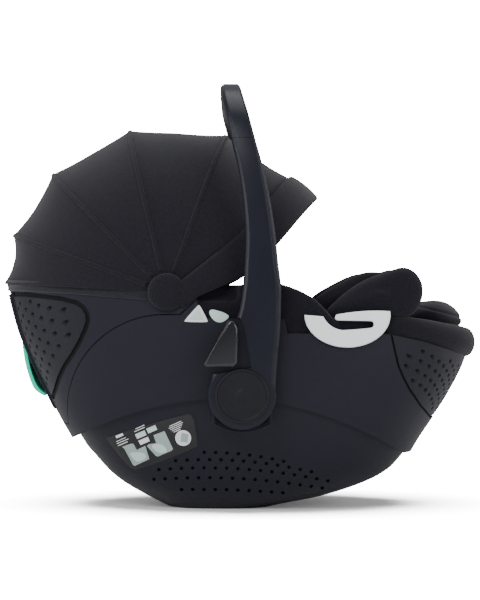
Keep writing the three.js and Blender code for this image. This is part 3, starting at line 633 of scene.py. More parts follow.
def puff(piece, voxel=5.0, cap=6.0, pressure=4.0, frames=20):
    """Blows a pad up as stuffed cloth, and lets no point go further than cap from where it was."""
    remesh(piece, voxel, smoothing=2)
    scene = bpy.context.scene
    before = [vertex.co.copy() for vertex in piece.data.vertices]
    cloth = piece.modifiers.new("cloth", "CLOTH")
    cloth.settings.quality = 5
    cloth.settings.use_pressure = True
    cloth.settings.uniform_pressure_force = pressure
    cloth.settings.effector_weights.gravity = 0
    cloth.point_cache.frame_start, cloth.point_cache.frame_end = 1, frames
    for frame_number in range(1, frames + 1):
        scene.frame_set(frame_number)
    blown = piece.evaluated_get(bpy.context.evaluated_depsgraph_get())
    after = [vertex.co.copy() for vertex in blown.data.vertices]
    piece.modifiers.remove(cloth)
    for vertex, a, b in zip(piece.data.vertices, before, after):
        move = b - a
        if move.length > cap * MM:
            move.length = cap * MM
        vertex.co = a + move
    scene.frame_set(1)
    finer = piece.modifiers.new("finer", "SUBSURF")
    finer.levels = finer.render_levels = 1
    apply_modifiers(piece)
    return piece


# ------------------------------------------------------------------ the moulded body
def ledge(shift):
    """Everything above the arched ledge, where the fuller upper body meets the recessed base."""
    arch = [(x, shift + 155 - 0.0013 * (x + 20) ** 2) for x in range(-300, 301, 10)]
    return prism("ledge", [*arch, (FAR, FAR), (-FAR, FAR)])


def below_rim():
    return prism("below_rim", [(-FAR, -20), (FAR, -20), *reversed(RIM_LINE)])


def back_region(shift):
    arc = []
    for degrees in range(186, 95, -3):
        turn = math.radians(degrees)
        radius = SEAM_R + shift / 2
        arc.append((SEAM_X + radius * math.cos(turn), SEAM_Z + shift * 0.7 + radius * math.sin(turn)))
    return prism("back_region", [(-FAR, 113 + shift), *arc, (-80 - shift, 268 + shift), (-52 - shift, 294),
                                 (-52 - shift, FAR), (-FAR, FAR)])


def body(grow=0.0):
    """The whole outer form, or with a negative grow the room inside its wall."""
    upper = carve(hull_solid("upper", UPPER, grow), ledge(-grow), "INTERSECT")
    return carve(upper, hull_solid("base", BASE, grow), "UNION")


outer_body = body()
body_wall = carve(copy_of(outer_body, "body_wall"), body(-WALL))
body_wall = carve(body_wall, below_rim(), "INTERSECT")


def inside(point, region):
    """Whether a side-view point lies in a region."""
    x, z = point
    within = False
    for (ax, az), (bx, bz) in zip(region, region[1:] + region[:1]):
        if (az > z) != (bz > z) and x < ax + (z - az) * (bx - ax) / (bz - az):
            within = not within
    return within


def drill(piece, name, places, direction, radius, depth, sides=12):
    """Bores round holes centred at the places, all along one direction."""
    turned = Vector(direction).to_track_quat("Z", "Y").to_matrix().to_4x4()
    deselect()
    bpy.ops.mesh.primitive_cylinder_add(vertices=sides, radius=radius * MM, depth=depth * MM)
    bit = bpy.context.active_object
    drills = []
    for place in places:
        twin = copy_of(bit, name)
        twin.data.transform(Matrix.Translation(Vector(place) * MM) @ turned)
        drills.append(twin)
    bpy.data.objects.remove(bit, do_unlink=True)
    return carve(piece, join(name, drills))


DOCK_REAR, DOCK_FRONT, DOCK_HALF, DOCK_DEPTH = -78, 22, 62, 27


def lower_shell():
    shell = carve(copy_of(body_wall, "lower_shell_moulding"), back_region(0))
    shell = carve(shell, prism("vent", FOOT_VENT))
    pocket = block("pocket", DOCK_REAR - WALL, DOCK_FRONT + WALL, -DOCK_HALF - WALL, DOCK_HALF + WALL, 0.5,
                   DOCK_DEPTH + WALL)
    shell = carve(shell, pocket, "UNION")
    shell = carve(shell, block("recess", DOCK_REAR, DOCK_FRONT, -DOCK_HALF, DOCK_HALF, -1, DOCK_DEPTH))
    for x in (DOCK_REAR + 18, DOCK_FRONT - 18):
        shell = carve(shell, round_bar("bar_hole", x, 14, 6.4, -80, 80, 32))
    shell = carve(shell, round_bar("axle_hole", 3, 160, 9.5, -FAR, FAR, 40))
    # rows of small holes along the rocker's two sides: first x, how many, crest and fall of each row
    rows = ((-48.5, 8, 81.3, 0.0012), (-87.4, 13, 71.1, 0.00087), (-110.6, 16, 59.6, 0.00072),
            (-118, 16, 45.8, 0.00066), (-80, 10, 29.0, 0.0005))
    pitch = 15.4
    places = []
    for first, count, crest, fall in rows:
        for i in range(count):
            x = first + i * pitch
            z = crest - fall * (x + 43) ** 2
            places += [(x, side * BASE.side(x, z), z) for side in (NEAR, AWAY)]
    return drill(shell, "rocker_holes", places, (0, 1, 0), 2.5, 40)


finish(lower_shell(), SHELL_FINISH, "bucket", ["lower_shell"])

RECESS_HALF, RECESS_LOW, RECESS_HIGH, RECESS_DEPTH = 44, 150, 233, 14
PIVOT_X, PIVOT_Z = 3, 160
FAN_X, FAN_Z, FAN_RADIUS, FAN_HALF, FAN_POWER = -99, 299, 235, 180, 2.3


def recess_block(margin):
    return block("recess", -FAR, -200, -RECESS_HALF - margin, RECESS_HALF + margin, RECESS_LOW - margin,
                 RECESS_HIGH + margin)


def back_shell():
    shell = carve(copy_of(body_wall, "back_shell_moulding"), back_region(1.2), "INTERSECT")
    vents = carve(prism("vents", REAR_VENT),
                  block("strip", -FAR, FAR, -REAR_PLATE_HALF, REAR_PLATE_HALF, -FAR, FAR))
    shell = carve(shell, vents)
    shell = carve(shell, round_bar("pin_hole", FAN_X, FAN_Z, 4.5, -FAR, FAR, 32))
    return carve(shell, recess_block(3.4))


finish(back_shell(), SHELL_FINISH, "bucket", ["back_shell"])


def vent_wall():
    return carve(hull_solid("vent_wall", UPPER, -1), hull_solid("inner", UPPER, -WALL))


def foot_wall_x(y, z, grow=0.0):
    """How far forward the foot end's wall stands at y and z."""
    rear, front, half = UPPER.rear(z) - grow, UPPER.front(z) + grow, UPPER.half(z) + grow
    reach = (1 - min(abs(y) / half, 0.999) ** UPPER.power) ** (1 / UPPER.power)
    return (rear + front) / 2 + (front - rear) / 2 * reach


def rear_wall_x(y, z):
    rear, front, half = UPPER.rear(z), UPPER.front(z), UPPER.half(z)
    reach = (1 - min(abs(y) / half, 0.999) ** UPPER.power) ** (1 / UPPER.power)
    return (rear + front) / 2 - (front - rear) / 2 * reach


def foot_vent():
    panel = carve(vent_wall(), prism("region", inset(FOOT_VENT, 3)), "INTERSECT")
    panel = carve(panel, below_rim(), "INTERSECT")
    panel.name = panel.data.name = "foot_vent_grille"
    region = inset(FOOT_VENT, 11)
    rim = [(x, z - 13) for x, z in RIM_LINE]
    places = []
    for column in range(-17, 18):
        y = column * 9.5
        for row in range(12):
            z = 249 - 13 * (row + (0.5 if column % 2 else 0))
            x = foot_wall_x(y, z)
            clear = inside((x, z), region) and inside((x, z), [(-FAR, -20), (FAR, -20), *reversed(rim)])
            if clear and z > 137:
                places.append((x - 1.5, y, z))
    return drill(panel, "foot_holes", places, (0.853, 0, -0.522), 2.7, 26)


finish(foot_vent(), VENT_FINISH, "bucket", ["foot_vent_panel"])


def rear_vent(side):
    y0, y1 = span(side, REAR_PLATE_HALF + 1.5, FAR)
    panel = carve(vent_wall(), prism("region", inset(REAR_VENT, 6.2)), "INTERSECT")
    panel = carve(panel, block("half", -FAR, 0, y0, y1, 0, FAR), "INTERSECT")
    panel.name = panel.data.name = f"rear_vent_grille_{SIDE_NAMES[side]}"
    region = inset(REAR_VENT, 13)
    places = []
    for column in range(8):
        y = 155 - column * 12
        for row in range(10):
            # the rows rise a little as they go round to the rear
            z = 273 + 0.75 * column**2 - 17.2 * row
            x = rear_wall_x(y, z)
            if z < 291 and inside((x, z), region):
                places.append((x + 1.5, side * y, z))
    return drill(panel, "rear_holes", places, (-0.89, 0, -0.456), 3.0, 30, sides=16)


for side in (NEAR, AWAY):
    finish(rear_vent(side), VENT_FINISH, "bucket", [f"rear_vent_panel_{SIDE_NAMES[side]}"])


def painted_hole_shade(name, hull, grow, region):
    """A thin near-black skin just behind a perforated wall: painted shade, so that the holes read dark."""
    skin = carve(hull_solid(name, hull, grow), hull_solid("inner", hull, grow - 0.3))
    skin.name = skin.data.name = name
    return carve(skin, region, "INTERSECT")


# near-black skins behind the foot vent, the rear vents and the rocker holes paint the shade seen through the holes
HOLE_SHADE_FINISH = moulded("painted_hole_shade", (0.004, 0.004, 0.005), 0.8, depth=0.3)
for name, hull, region in (
        ("foot_vent_painted_shade", UPPER, prism("region", [(199, 250), (199, 118), (300, 118), (340, 200), (340, 205)])),
        ("rear_vent_painted_shade", UPPER, prism("region", [(-FAR, 146), (-240, 146), (-198, 240), (-198, 292), (-FAR, 303)])),
        ("rocker_painted_shade", BASE, prism("region", [(-165, 24), (140, 24), (175, 70), (60, 92), (-75, 92), (-175, 66)]))):
    skin = painted_hole_shade(name, hull, -WALL - 0.05, region)
    if name == "rear_vent_painted_shade":
        carve(skin, recess_block(4))
    finish(skin, HOLE_SHADE_FINISH, "bucket")


def release_bezel():
    plate = carve(hull_solid("release_plate", UPPER, 3), hull_solid("inner", UPPER, 0.4))
    plate = carve(plate, block("region", -FAR, -200, -54, 54, 136, 296), "INTERSECT")
    cup = carve(hull_solid("cup", UPPER, 3), hull_solid("inner", UPPER, -RECESS_DEPTH - 3))
    cup = carve(cup, recess_block(3), "INTERSECT")
    plate = carve(plate, cup, "UNION")
    hollow = carve(recess_block(0), hull_solid("inner", UPPER, -RECESS_DEPTH))
    plate = carve(plate, hollow)
    plate.name = plate.data.name = "release_plate"
    return plate


finish(release_bezel(), SHELL_FINISH, "bucket", ["release_bezel"])


def arc_points(cx, cz, rx, rz, start, stop, count):
    turns = [math.radians(start + (stop - start) * i / count) for i in range(count + 1)]
    return [(cx + rx * math.cos(turn), cz + rz * math.sin(turn)) for turn in turns]


def bend(start, *control, count=8):
    """Points of a quadratic or cubic curve after its start."""
    points = [start, *control]
    made = []
    for i in range(1, count + 1):
        level = points
        t = i / count
        while len(level) > 1:
            level = [(a[0] + (b[0] - a[0]) * t, a[1] + (b[1] - a[1]) * t) for a, b in zip(level, level[1:])]
        made.append(level[0])
    return made


def release_pull():
    points = [(-300, 230)]
    points += bend(points[-1], (-305, 231), (-305.5, 226), count=4)
    points += bend(points[-1], (-303, 200), (-297, 180), (-290.5, 166), count=14)
    points += bend(points[-1], (-284, 156.5), (-274, 153.5), count=8)
    points.append((-272.5, 157))
    points += bend(points[-1], (-281, 161), (-286.5, 172), count=6)
    points += bend(points[-1], (-292, 184), (-297, 200), (-299, 224), count=12)
    return prism("release_pull_handle", points, -42, 42, edge=1.1, segments=3)


finish(release_pull(), RELEASE_FINISH, "release_pull", ["release_handle"])


def belt_guide(side):
    points = arc_points(145, 268, 58.5, 44, 180, 360, 48)
    points.append((203, 273))
    points += bend(points[-1], (168, 275.5), (130, 268.5), count=12)
    points += bend(points[-1], (125, 264), (130.5, 260.5), count=6)
    points.append((176, 259.5))
    points += arc_points(176, 255, 4.5, 4.5, 90, -90, 10)
    points += bend(points[-1], (158, 248.5), (138, 247.5), count=8)
    points += bend(points[-1], (120, 250), (112, 266), count=10)
    guide = prism(f"lap_belt_guide_{SIDE_NAMES[side]}", points, 0, 6.6, edge=2.2, segments=4)
    return lay_on_hull(guide, UPPER, side, 0.4)


for side in (NEAR, AWAY):
    finish(belt_guide(side), GUIDE_FINISH, "bucket", [f"belt_guide_{SIDE_NAMES[side]}"], degrees=50)

# ------------------------------------------------------------------ the handle
ARM_CENTRE = through([(160, 3), (205, 8), (235, 16), (263, 25), (306, 29.5), (337, 28.7), (371, 27.7),
                      (417, 23), (464, 14.7), (500, 5.5), (534, -3), (568, -12), (582, -13.5)])
ARM_HALF = through([(160, 44), (205, 42), (235, 37), (263, 29.5), (306, 25.5), (337, 22.7), (371, 20.3),
                    (417, 18.4), (464, 16.7), (500, 16), (582, 14)])
HALF_BOW = [(202, 160), (202, 250), (201.5, 340), (198, 430), (189, 492), (170, 535), (136, 562), (80, 575.5)]
BOW_JOINT = 506
TRIGGER = [(-49, 202), (-45, 198.5), (-8, 198.5), (-3, 204), (-2, 250), (-6, 259), (-13, 261), (-17, 258)]
TRIGGER_POCKET = [(-80, 180), (-40, 188), (15, 197), (6, 252), (0, 264), (-80, 264)]


def handle_bar():
    """One flattened bar from hub to hub, chamfered along its edges and fuller at the grip."""
    route = [(-y, z) for y, z in HALF_BOW] + [(0, 580)] + HALF_BOW[::-1]
    path = Path([Vector((0, y, z)) for y, z in route])
    rings = []
    count = 150
    for i in range(count + 1):
        p = path.at(i / count)
        along = path.along(i / count)
        out = Vector((0, -along.z, along.y))
        half = ARM_HALF(p.z)
        thick = 10 + 2 * smooth(p.z, 430, 570)
        cut = min(6, half * 0.3)
        section = [(half, thick - cut), (half - cut, thick), (cut - half, thick), (-half, thick - cut),
                   (-half, cut * 0.6 - thick), (cut * 0.6 - half, -thick), (half - cut * 0.6, -thick),
                   (half, cut * 0.6 - thick)]
        rings.append([Vector((ARM_CENTRE(p.z) + x, p.y + d * out.y, p.z + d * out.z)) for x, d in section])
    bar = loft("bar", rings[::-1])
    bevel(bar, 1.4, 3, angle=20)
    return bar


bar = handle_bar()
above_joint = block("above", -FAR, FAR, -FAR, FAR, BOW_JOINT, FAR)
handle_bow = carve(copy_of(bar, "handle_grip_bow"), above_joint, "INTERSECT")
finish(handle_bow, HANDLE_FINISH, "handle", ["handle_bow"])


def handle_arm(side):
    arm = copy_of(bar, f"handle_arm_moulding_{SIDE_NAMES[side]}")
    carve(arm, block("half", -FAR, FAR, *span(side, 5, FAR), 0, BOW_JOINT - 0.4), "INTERSECT")
    carve(arm, round_bar("hub", PIVOT_X, PIVOT_Z, 45, *span(side, 192, 212), vertices=120, edge=1.6), "UNION")
    carve(arm, round_bar("axle_hole", PIVOT_X, PIVOT_Z, 9.5, -FAR, FAR, 48))
    carve(arm, round_bar("gear_room", PIVOT_X, PIVOT_Z, 29, *span(side, 202, FAR)))
    return carve(arm, prism("pocket", TRIGGER_POCKET, *span(side, 203.5, FAR)))


def turned(name, profile, segments=96):
    """A round piece about Z, spun from a profile of (radius, height) in millimetres."""
    last = len(profile) - 1

    def place(u, v):
        radius, height = profile[round(v * last)]
        return Vector((radius * math.cos(2 * math.pi * u), radius * math.sin(2 * math.pi * u), height))

    piece = surface(name, segments, last, place, closed=True)
    tidy_mesh(piece)
    return piece


def facing(piece, x, y, z, side):
    """Turns a round piece from Z to face outwards on one side, and puts its foot at x, y, z."""
    turn = Matrix.Rotation(math.radians(-90 * side), 4, "X")
    piece.data.transform(Matrix.Translation(Vector((x, y, z)) * MM) @ turn)
    return piece


def hub_cap(side):
    """A shallow cap: a raised lip, a flat face a little below it, and a plain centre boss."""
    profile = [(0, 0), (36, 0), (36, 3.2), (35.7, 4.2), (35, 4.8), (34, 5), (33.2, 4.8), (32.7, 4.2), (32.4, 3.4),
               (31.8, 3.0), (30.5, 2.9), (20, 2.9), (8.6, 3.0), (8.2, 3.1), (7.9, 3.4), (7.4, 3.7), (6.6, 3.8), (0, 3.8)]
    cap = turned(f"hub_cover_{SIDE_NAMES[side]}", profile)
    return facing(cap, PIVOT_X, side * 212.4, PIVOT_Z, side)


def canopy_pivot(side):
    profile = [(0, 0), (24.6, 0), (24.9, 0.9), (24.6, 1.9), (23.6, 3), (21.8, 3.9), (19, 4.6), (15, 5.1), (10, 5.4),
               (5, 5.5), (0, 5.5)]
    cap = turned(f"canopy_hinge_cap_{SIDE_NAMES[side]}", profile, 72)
    facing(cap, FAN_X, side * 185, FAN_Z, side)
    pin = round_bar("pin", FAN_X, FAN_Z, 4, *span(side, 166, 186), vertices=32)
    return carve(cap, pin, "UNION")


for side in (NEAR, AWAY):
    name = SIDE_NAMES[side]
    finish(handle_arm(side), HANDLE_FINISH, "handle", [f"handle_arm_{name}"])
    finish(hub_cap(side), CAP_FINISH, "handle", [f"hub_cap_{name}"])
    press = prism(f"handle_trigger_{name}", TRIGGER, *span(side, 204, 222), edge=4.2, segments=5)
    finish(press, TRIGGER_FINISH, f"handle_trigger_{name}", [f"trigger_{name}"])
    finish(canopy_pivot(side), CANOPY_CLOTH, "bucket", [f"canopy_pivot_{name}"], degrees=60)


def adapter_socket(side):
    """The collar below the hub, which a pushchair adapter slides up into."""
    def outline(grow, top):
        foot = bend((PIVOT_X - 37 - grow, 122), (PIVOT_X, 101 - 1.4 * grow), (PIVOT_X + 37 + grow, 122),
                    count=20)
        return [(PIVOT_X + 37 + grow, top), (PIVOT_X - 37 - grow, top), (PIVOT_X - 37 - grow, 122), *foot]

    collar = prism(f"adapter_collar_{SIDE_NAMES[side]}", outline(3.5, 172), *span(side, 150, 190), edge=0.8)
    carve(collar, prism("room", outline(0, 200), *span(side, 100, 300)))
    carve(collar, outer_body, keep=True)
    return carve(collar, hull_solid("wall", UPPER, 0.4))


for side in (NEAR, AWAY):
    finish(adapter_socket(side), SHELL_FINISH, "bucket", [f"adapter_socket_{SIDE_NAMES[side]}"])

# ------------------------------------------------------------------ the canopy
RIBS = [176, 160, 134.8, 104, 70.4, 44.3]
SCALLOP = 10
BAND_WIDTH = 49


def fan_point(degrees, share, radius=FAN_RADIUS, half=FAN_HALF):
    """A point of the fan: degrees round its pivot, share 0 to 1 over the arch from one side to the other."""
    turn, arch = math.radians(degrees), math.pi * share
    r = radius * rounded(math.sin(arch), FAN_POWER) if 0 < share < 1 else 0
    y = -half * rounded(math.cos(arch), FAN_POWER)
    return Vector((FAN_X + r * math.cos(turn), y, FAN_Z + r * math.sin(turn)))


def arch_share(reach, v):
    """The share of the arch at v, from where it stands reach out from the pivot to the same opposite."""
    start = math.asin((reach / FAN_RADIUS) ** (FAN_POWER / 2)) / math.pi
    return start + (1 - 2 * start) * v


def seam_angle(reach):
    """The seam of the front band, which curves forward towards the pivot."""
    return 38.6 + (RIBS[5] - 38.6) * smooth(reach, 90, FAN_RADIUS)


def band_point(share, across, radius, half):
    on_seam = fan_point(RIBS[5], share, radius, half)
    r = math.hypot(on_seam.x - FAN_X, on_seam.z - FAN_Z)
    width = BAND_WIDTH * (0.74 + 0.26 * smooth(r, 30, 110))
    turned_by = math.degrees(math.asin(min(1, width * across / (r + 8 * across))))
    turn = math.radians(seam_angle(r) - 0.4 - turned_by)
    reach = r * (1 + 0.045 * across * (r / FAN_RADIUS))
    flare = 1 + 0.028 * (1 - smooth(r, 50, 120))
    return Vector((FAN_X + reach * math.cos(turn), on_seam.y * flare, FAN_Z + reach * math.sin(turn)))


BOWS = ["bucket", "canopy_bow_1", "canopy_bow_2", "canopy_bow_3", "canopy_bow_4", "canopy_front"]


def gore_seam(number, reach):
    """The angle of a gore's front or rear seam."""
    return seam_angle(reach) if number == 5 else RIBS[number]


def gore(number):
    """One gore of stretched cloth, dipping between its two seams and a little loose towards the hinge."""
    def place(u, v):
        share = arch_share(17, v)
        dip = SCALLOP * (1 - abs(2 * u - 1) ** 2.2)
        flat = fan_point(0, share, FAN_RADIUS - dip, FAN_HALF)
        reach = flat.x - FAN_X
        # the first gore tucks in behind the binding, and the last one under the front band
        front = gore_seam(number, reach) + (-1.4 if number == 5 else 0.35)
        rear = RIBS[number - 1] + (1.0 if number == 1 else -0.35)
        pull = math.sin(math.pi * u) * noise.noise(Vector((number * 9.1 + u * 2.5, v * 7, 0.3)))
        slack = 1.1 * pull * smooth(reach, 27, 120) - (0.7 * smooth(u, 0.93, 0.98) if number == 5 else 0)
        return fan_point(rear + (front - rear) * u, share, FAN_RADIUS - dip + slack, FAN_HALF + 0.4 * slack)

    piece = shell_between(f"canopy_cloth_{number}", 28, 110, place, 1.4)
    apply_modifiers(piece)
    finish(piece, CANOPY_CLOTH, None, [f"canopy_gore_{number}"], degrees=50)
    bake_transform(piece)


for number in range(1, 6):
    gore(number)


def ribbon(name, points, across, out, width, height):
    """A flat tape with rounded edges along a row of points, with its own width and rise at each."""
    rings = []
    for p, a, o in zip(points, across, out):
        ring = []
        for k in range(12):
            turn = 2 * math.pi * k / 12
            sideways, rise = width / 2 * rounded(math.cos(turn), 3), height / 2 * rounded(math.sin(turn), 3)
            ring.append(p + a * sideways + o * rise)
        rings.append(ring)
    return loft(name, rings)


def rib_tunnel(number):
    """The stitched tunnel over one rib, where two gores meet."""
    count = 120
    angle = math.radians(RIBS[number])
    sideways = Vector((-math.sin(angle), 0, math.cos(angle)))
    points = [fan_point(RIBS[number], arch_share(30, i / count), FAN_RADIUS + 0.2, FAN_HALF + 0.2)
              for i in range(count + 1)]
    out = [(points[min(i + 1, count)] - points[max(i - 1, 0)]).cross(sideways).normalized()
           for i in range(count + 1)]
    out = [o if o.dot(p - Vector((FAN_X, 0, FAN_Z))) > 0 else -o for o, p in zip(out, points)]
    tunnel = ribbon(f"canopy_rib_tunnel_{number}", points, [sideways] * (count + 1), out, 5.5, 2.4)
    finish(tunnel, CANOPY_CLOTH, BOWS[number], degrees=60)


for number in range(1, 5):
    rib_tunnel(number)


def front_band():
    """The padded band along the canopy's front edge: two faces with a rolled edge."""
    columns, rows = 24, 130

    def face(inwards):
        def place(u, v):
            edge = min(u, 1 - u)
            roll = 1.4 * (1 - smooth(edge, 0, 0.07))
            share = arch_share(15, v)
            full = 1.3 * math.sin(math.pi * u)
            size = 3 - inwards + (full if inwards == 0 else 0) + (-roll if inwards == 0 else roll)
            return band_point(share, u, FAN_RADIUS + size, FAN_HALF + size)
        return place

    outer = surface("canopy_front_hem", columns, rows, face(0))
    inner = surface("inner", columns, rows, face(3))
    band = join("canopy_front_hem", [outer, inner])

    def steps(work):
        rims = [edge for edge in work.edges if edge.is_boundary]
        bmesh.ops.bridge_loops(work, edges=rims)
        bmesh.ops.recalc_face_normals(work, faces=work.faces)

    edit(band, steps)
    return band


band = finish(front_band(), CANOPY_CLOTH, "canopy_front", ["canopy_front_band"], degrees=60)


def rim_band():
    """The binding that holds the canopy's lower edge to the rim: a tape with a rolled cord along each edge."""
    low = through([(-340, 301), (-333, 301), (-240, 297), (-150, 289.5), (-118, 287)])
    high = through([(-340, 316.5), (-333, 316.5), (-240, 311.5), (-150, 304), (-118, 300.5)])
    # the turn of the hull's outline at which the binding ends, under the hinge cap
    end_x, steps = -118, 160
    start, beyond = math.pi / 2, math.pi
    for _ in range(30):
        middle = (start + beyond) / 2
        if UPPER.point(295, middle).x > end_x:
            start = middle
        else:
            beyond = middle
    # from the near end round the rear of the rim to the far end
    sides = [-start - (2 * math.pi - 2 * start) * (i / steps) for i in range(steps + 1)]
    profile = [(0.4, 0), (2.2, 0.02), (3.2, 0.06), (3.4, 0.12), (3.0, 0.18), (2.2, 0.22), (2.0, 0.5), (2.2, 0.78),
               (3.0, 0.82), (3.4, 0.88), (3.2, 0.94), (2.2, 0.98), (0.4, 1)]
    rings = []
    for turn in sides:
        foot = UPPER.point(300, turn)
        z0, z1 = low(foot.x), high(foot.x)
        rings.append([UPPER.point(z0 + (z1 - z0) * rise, turn, grow * 0.8) for grow, rise in profile])
    return loft("canopy_rim_binding", rings)


finish(rim_band(), BINDING_CLOTH, "bucket", ["canopy_rim_band"], degrees=60)


# ------------------------------------------------------------------ cover, roll and cushions
COVER, PAD = 8, 14  # thickness of the cover and of the inlay
COVER_TOP = [(-FAR, 306), (-333, 305), (-240, 301), (-150, 296), (-60, 310), (0, 309), (52, 311), (80, 302),
             (100, 291), (114, 277), (126, 262), (200, 261), (256, 252), (306, 240), (335, 232), (FAR, 232)]
FOAM_TOP = [(-FAR, 290), (-150, 284), (-80, 258), (56, 254), (66, 236), (200, 235), (252, 224), (335, 198),
            (FAR, 170)]


def under(line, raised=0.0):
    return prism("under", [(-FAR, -20), (FAR, -20), *((x, z + raised) for x, z in reversed(line))])


ROLL_HEIGHT = through([(118, 255), (200, 254), (256, 244), (325, 227)])


def foot_roll(name, grow=0.0, around=28, steps=150, reach=1.03):
    """The padded roll that the cover makes round the foot end, over the shell's rim."""
    a, b = 318, 175
    rings = []
    for i in range(steps + 1):
        turn = (2 * i / steps - 1) * reach
        middle = Vector((a * rounded(math.cos(turn), 2.7), b * rounded(math.sin(turn), 2.7), 0))
        middle.z = ROLL_HEIGHT(middle.x)
        out = Vector((rounded(math.cos(turn), 1.4) / a, rounded(math.sin(turn), 1.4) / b, 0)).normalized()
        end = min(1, (1 - abs(2 * i / steps - 1)) * 6)
        fat = 0.55 + 0.45 * math.sin(end * math.pi / 2)
        ring = []
        for k in range(around):
            turned_by = 2 * math.pi * k / around
            across = (13.6 * fat + grow) * math.cos(turned_by)
            tall = 15.8 + 4.5 * smooth(middle.x, 230, 318)
            ring.append(middle + out * across + Vector((0, 0, (tall * fat + grow) * math.sin(turned_by))))
        rings.append(ring)
    return loft(name, rings)


def on_foot_slope(piece, height=142, out=4.6, slope=0.66):
    """Places a piece modelled round the origin, its Z out, on the slope at the foot of the hollow."""
    x = HOLLOW.front(height) - out * math.sin(slope)
    z = height + out * math.cos(slope)
    piece.data.transform(Matrix.Translation(Vector((x, 0, z)) * MM) @ Matrix.Rotation(-slope, 4, "Y"))
    return piece


LEAN = math.radians(39)
UP_BACK = Vector((-math.cos(LEAN), 0, math.sin(LEAN)))
OFF_BACK = Vector((math.sin(LEAN), 0, math.cos(LEAN)))
BACK_FOOT = Vector((-28, 0, 76))


def on_back(s, y, d):
    """A point s up the backrest, y across it and d out from its surface."""
    return BACK_FOOT + UP_BACK * s + OFF_BACK * d + Vector((0, y, 0))


def wrap(name, outline, low, high, edge=0.0):
    """An outline across the backrest, (y, out), drawn up it from low to high."""
    piece = prism(name, outline, low, high, edge)
    place = Matrix((
        (0, UP_BACK.x, OFF_BACK.x, BACK_FOOT.x * MM), (1, 0, 0, 0),
        (0, UP_BACK.z, OFF_BACK.z, BACK_FOOT.z * MM), (0, 0, 0, 1)))
    piece.data.transform(place)
    tidy_mesh(piece)
    return piece


HEADREST = [(-98, 26), (98, 26), (109, 42), (112, 84), (106, 92), (92, 92), (84, 84), (80, 56), (66, 46),
            (-66, 46), (-80, 56), (-84, 84), (-92, 92), (-106, 92), (-112, 84), (-109, 42)]


def headrest_room():
    behind = [(-99, 24.5), (99, 24.5), (111, 41), (114, 85), (107, 94), (-107, 94), (-114, 85), (-111, 41)]
    plate = [(-85, 16.5), (85, 16.5), (85, 30), (-85, 30)]
    return carve(wrap("room", behind, 200, 337), wrap("plate", plate, 200, 327), "UNION")


def seat_cover():
    brim = carve(hull_solid("brim", UPPER, -WALL - 0.4), under(FOAM_TOP, 0.4))
    for side in (NEAR, AWAY):
        carve(brim, block("band_room", -134, -2, *span(side, 167, 260), 286, 340))
        carve(brim, round_bar("hinge_room", FAN_X, FAN_Z, 23.5, *span(side, 165, 260)))
    cover = carve(carve(hull_solid("cover", HOLLOW, COVER), brim, "UNION"), under(COVER_TOP), "INTERSECT")
    carve(cover, hull_solid("hollow", HOLLOW))
    carve(cover, headrest_room())
    carve(cover, on_foot_slope(block("adjuster_room", -18, 18, -23, 23, -4, 4)))
    carve(cover, foot_roll("roll", grow=0.8))
    remesh(cover, 4.0, smoothing=4)
    cover.name = cover.data.name = "seat_cover_cloth"
    rumple(cover, 60, 0.9, seed=1)
    return cover


cover = finish(seat_cover(), COVER_CLOTH, "bucket", ["seat_cover"], degrees=70)

roll = foot_roll("seat_cover_foot_roll")
rumple(roll, 45, 0.7, seed=2)
finish(roll, COVER_CLOTH, "bucket", ["cover_foot_roll"], degrees=70)


def inlay_pad():
    """The newborn inlay: a soft pad in the hollow, with a seam down its middle and one across it."""
    lies = [(-147, 0), (153, 0), (153, 188), (120, 153), (20, 113), (-80, 153), (-147, 208)]
    pad = carve(hull_solid("inlay_cushion", HOLLOW, -1.6), hull_solid("inner", HOLLOW, -PAD + 2))
    carve(pad, prism("lies", lies), "INTERSECT")
    carve(pad, block("width", -FAR, FAR, -109, 109, 0, FAR), "INTERSECT")
    carve(pad, block("strap_slot", 63, 89, -27, 27, 0, FAR))
    puff(pad, voxel=5, cap=2.5)
    sink_seam(pad, lambda p: p.y, width=2.4, depth=1.6)
    sink_seam(pad, lambda p: p.x + 30, width=2.4, depth=1.6)
    return pad


pad = finish(inlay_pad(), COVER_CLOTH, "bucket", ["inlay_pad"], degrees=80)


def lobe(name, outline, y, half, lean=0.0, round_off=2.2):
    """A stuffed lobe: a side-view outline, fullest at the middle of its thickness and closing to a seam."""
    points = softened(outline, rounds=2)
    cx = sum(x for x, z in points) / len(points)
    cz = sum(z for x, z in points) / len(points)
    rings = []
    layers = 16
    for i in range(layers + 1):
        across = -1 + 2 * i / layers
        size = max(1 - abs(across) ** round_off, 0.0) ** (1 / round_off) if abs(across) < 1 else 0
        size = max(size, 0.05)
        rings.append([
            Vector((cx + (x - cx) * size, y + half * across + lean * (z - cz), cz + (z - cz) * size))
            for x, z in points])
    return loft(name, rings)


OUTER_WING = [(108, 262), (117, 275), (128, 286), (144, 300), (160, 311), (176, 319), (196, 326), (208, 330),
              (222, 334), (234, 331), (244, 322), (250, 309), (250, 294), (246, 280), (232, 262), (160, 252)]
INNER_WING = [(92, 276), (102, 291), (114, 300), (130, 309), (153, 321), (171, 327), (184, 328), (198, 326),
              (212, 316), (214, 296), (190, 270), (140, 262)]


def cover_bulk():
    return carve(under(COVER_TOP, 0.8), hull_solid("hollow", HOLLOW, -0.4))


def inlay_wing(side):
    """A thigh cushion of two stuffed lobes, which stands up over the rim beside the belt guide."""
    outer = lobe("outer", OUTER_WING, side * 143, 19, lean=side * -0.1)
    inner = lobe("inner", INNER_WING, side * 118, 14, lean=side * -0.1)
    wings = []
    for made, shift, cap in ((outer, 143, 3), (inner, 118, 3)):
        carve(made, cover_bulk())
        carve(made, foot_roll("roll", grow=0.6))
        puff(made, voxel=4, cap=cap)
        sink_seam(made, lambda p, at=shift: p.y - side * at + side * 0.1 * (p.z - 295), width=1.6, depth=1.5)
        wings.append(made)
    return join(f"inlay_wing_cushion_{SIDE_NAMES[side]}", wings)


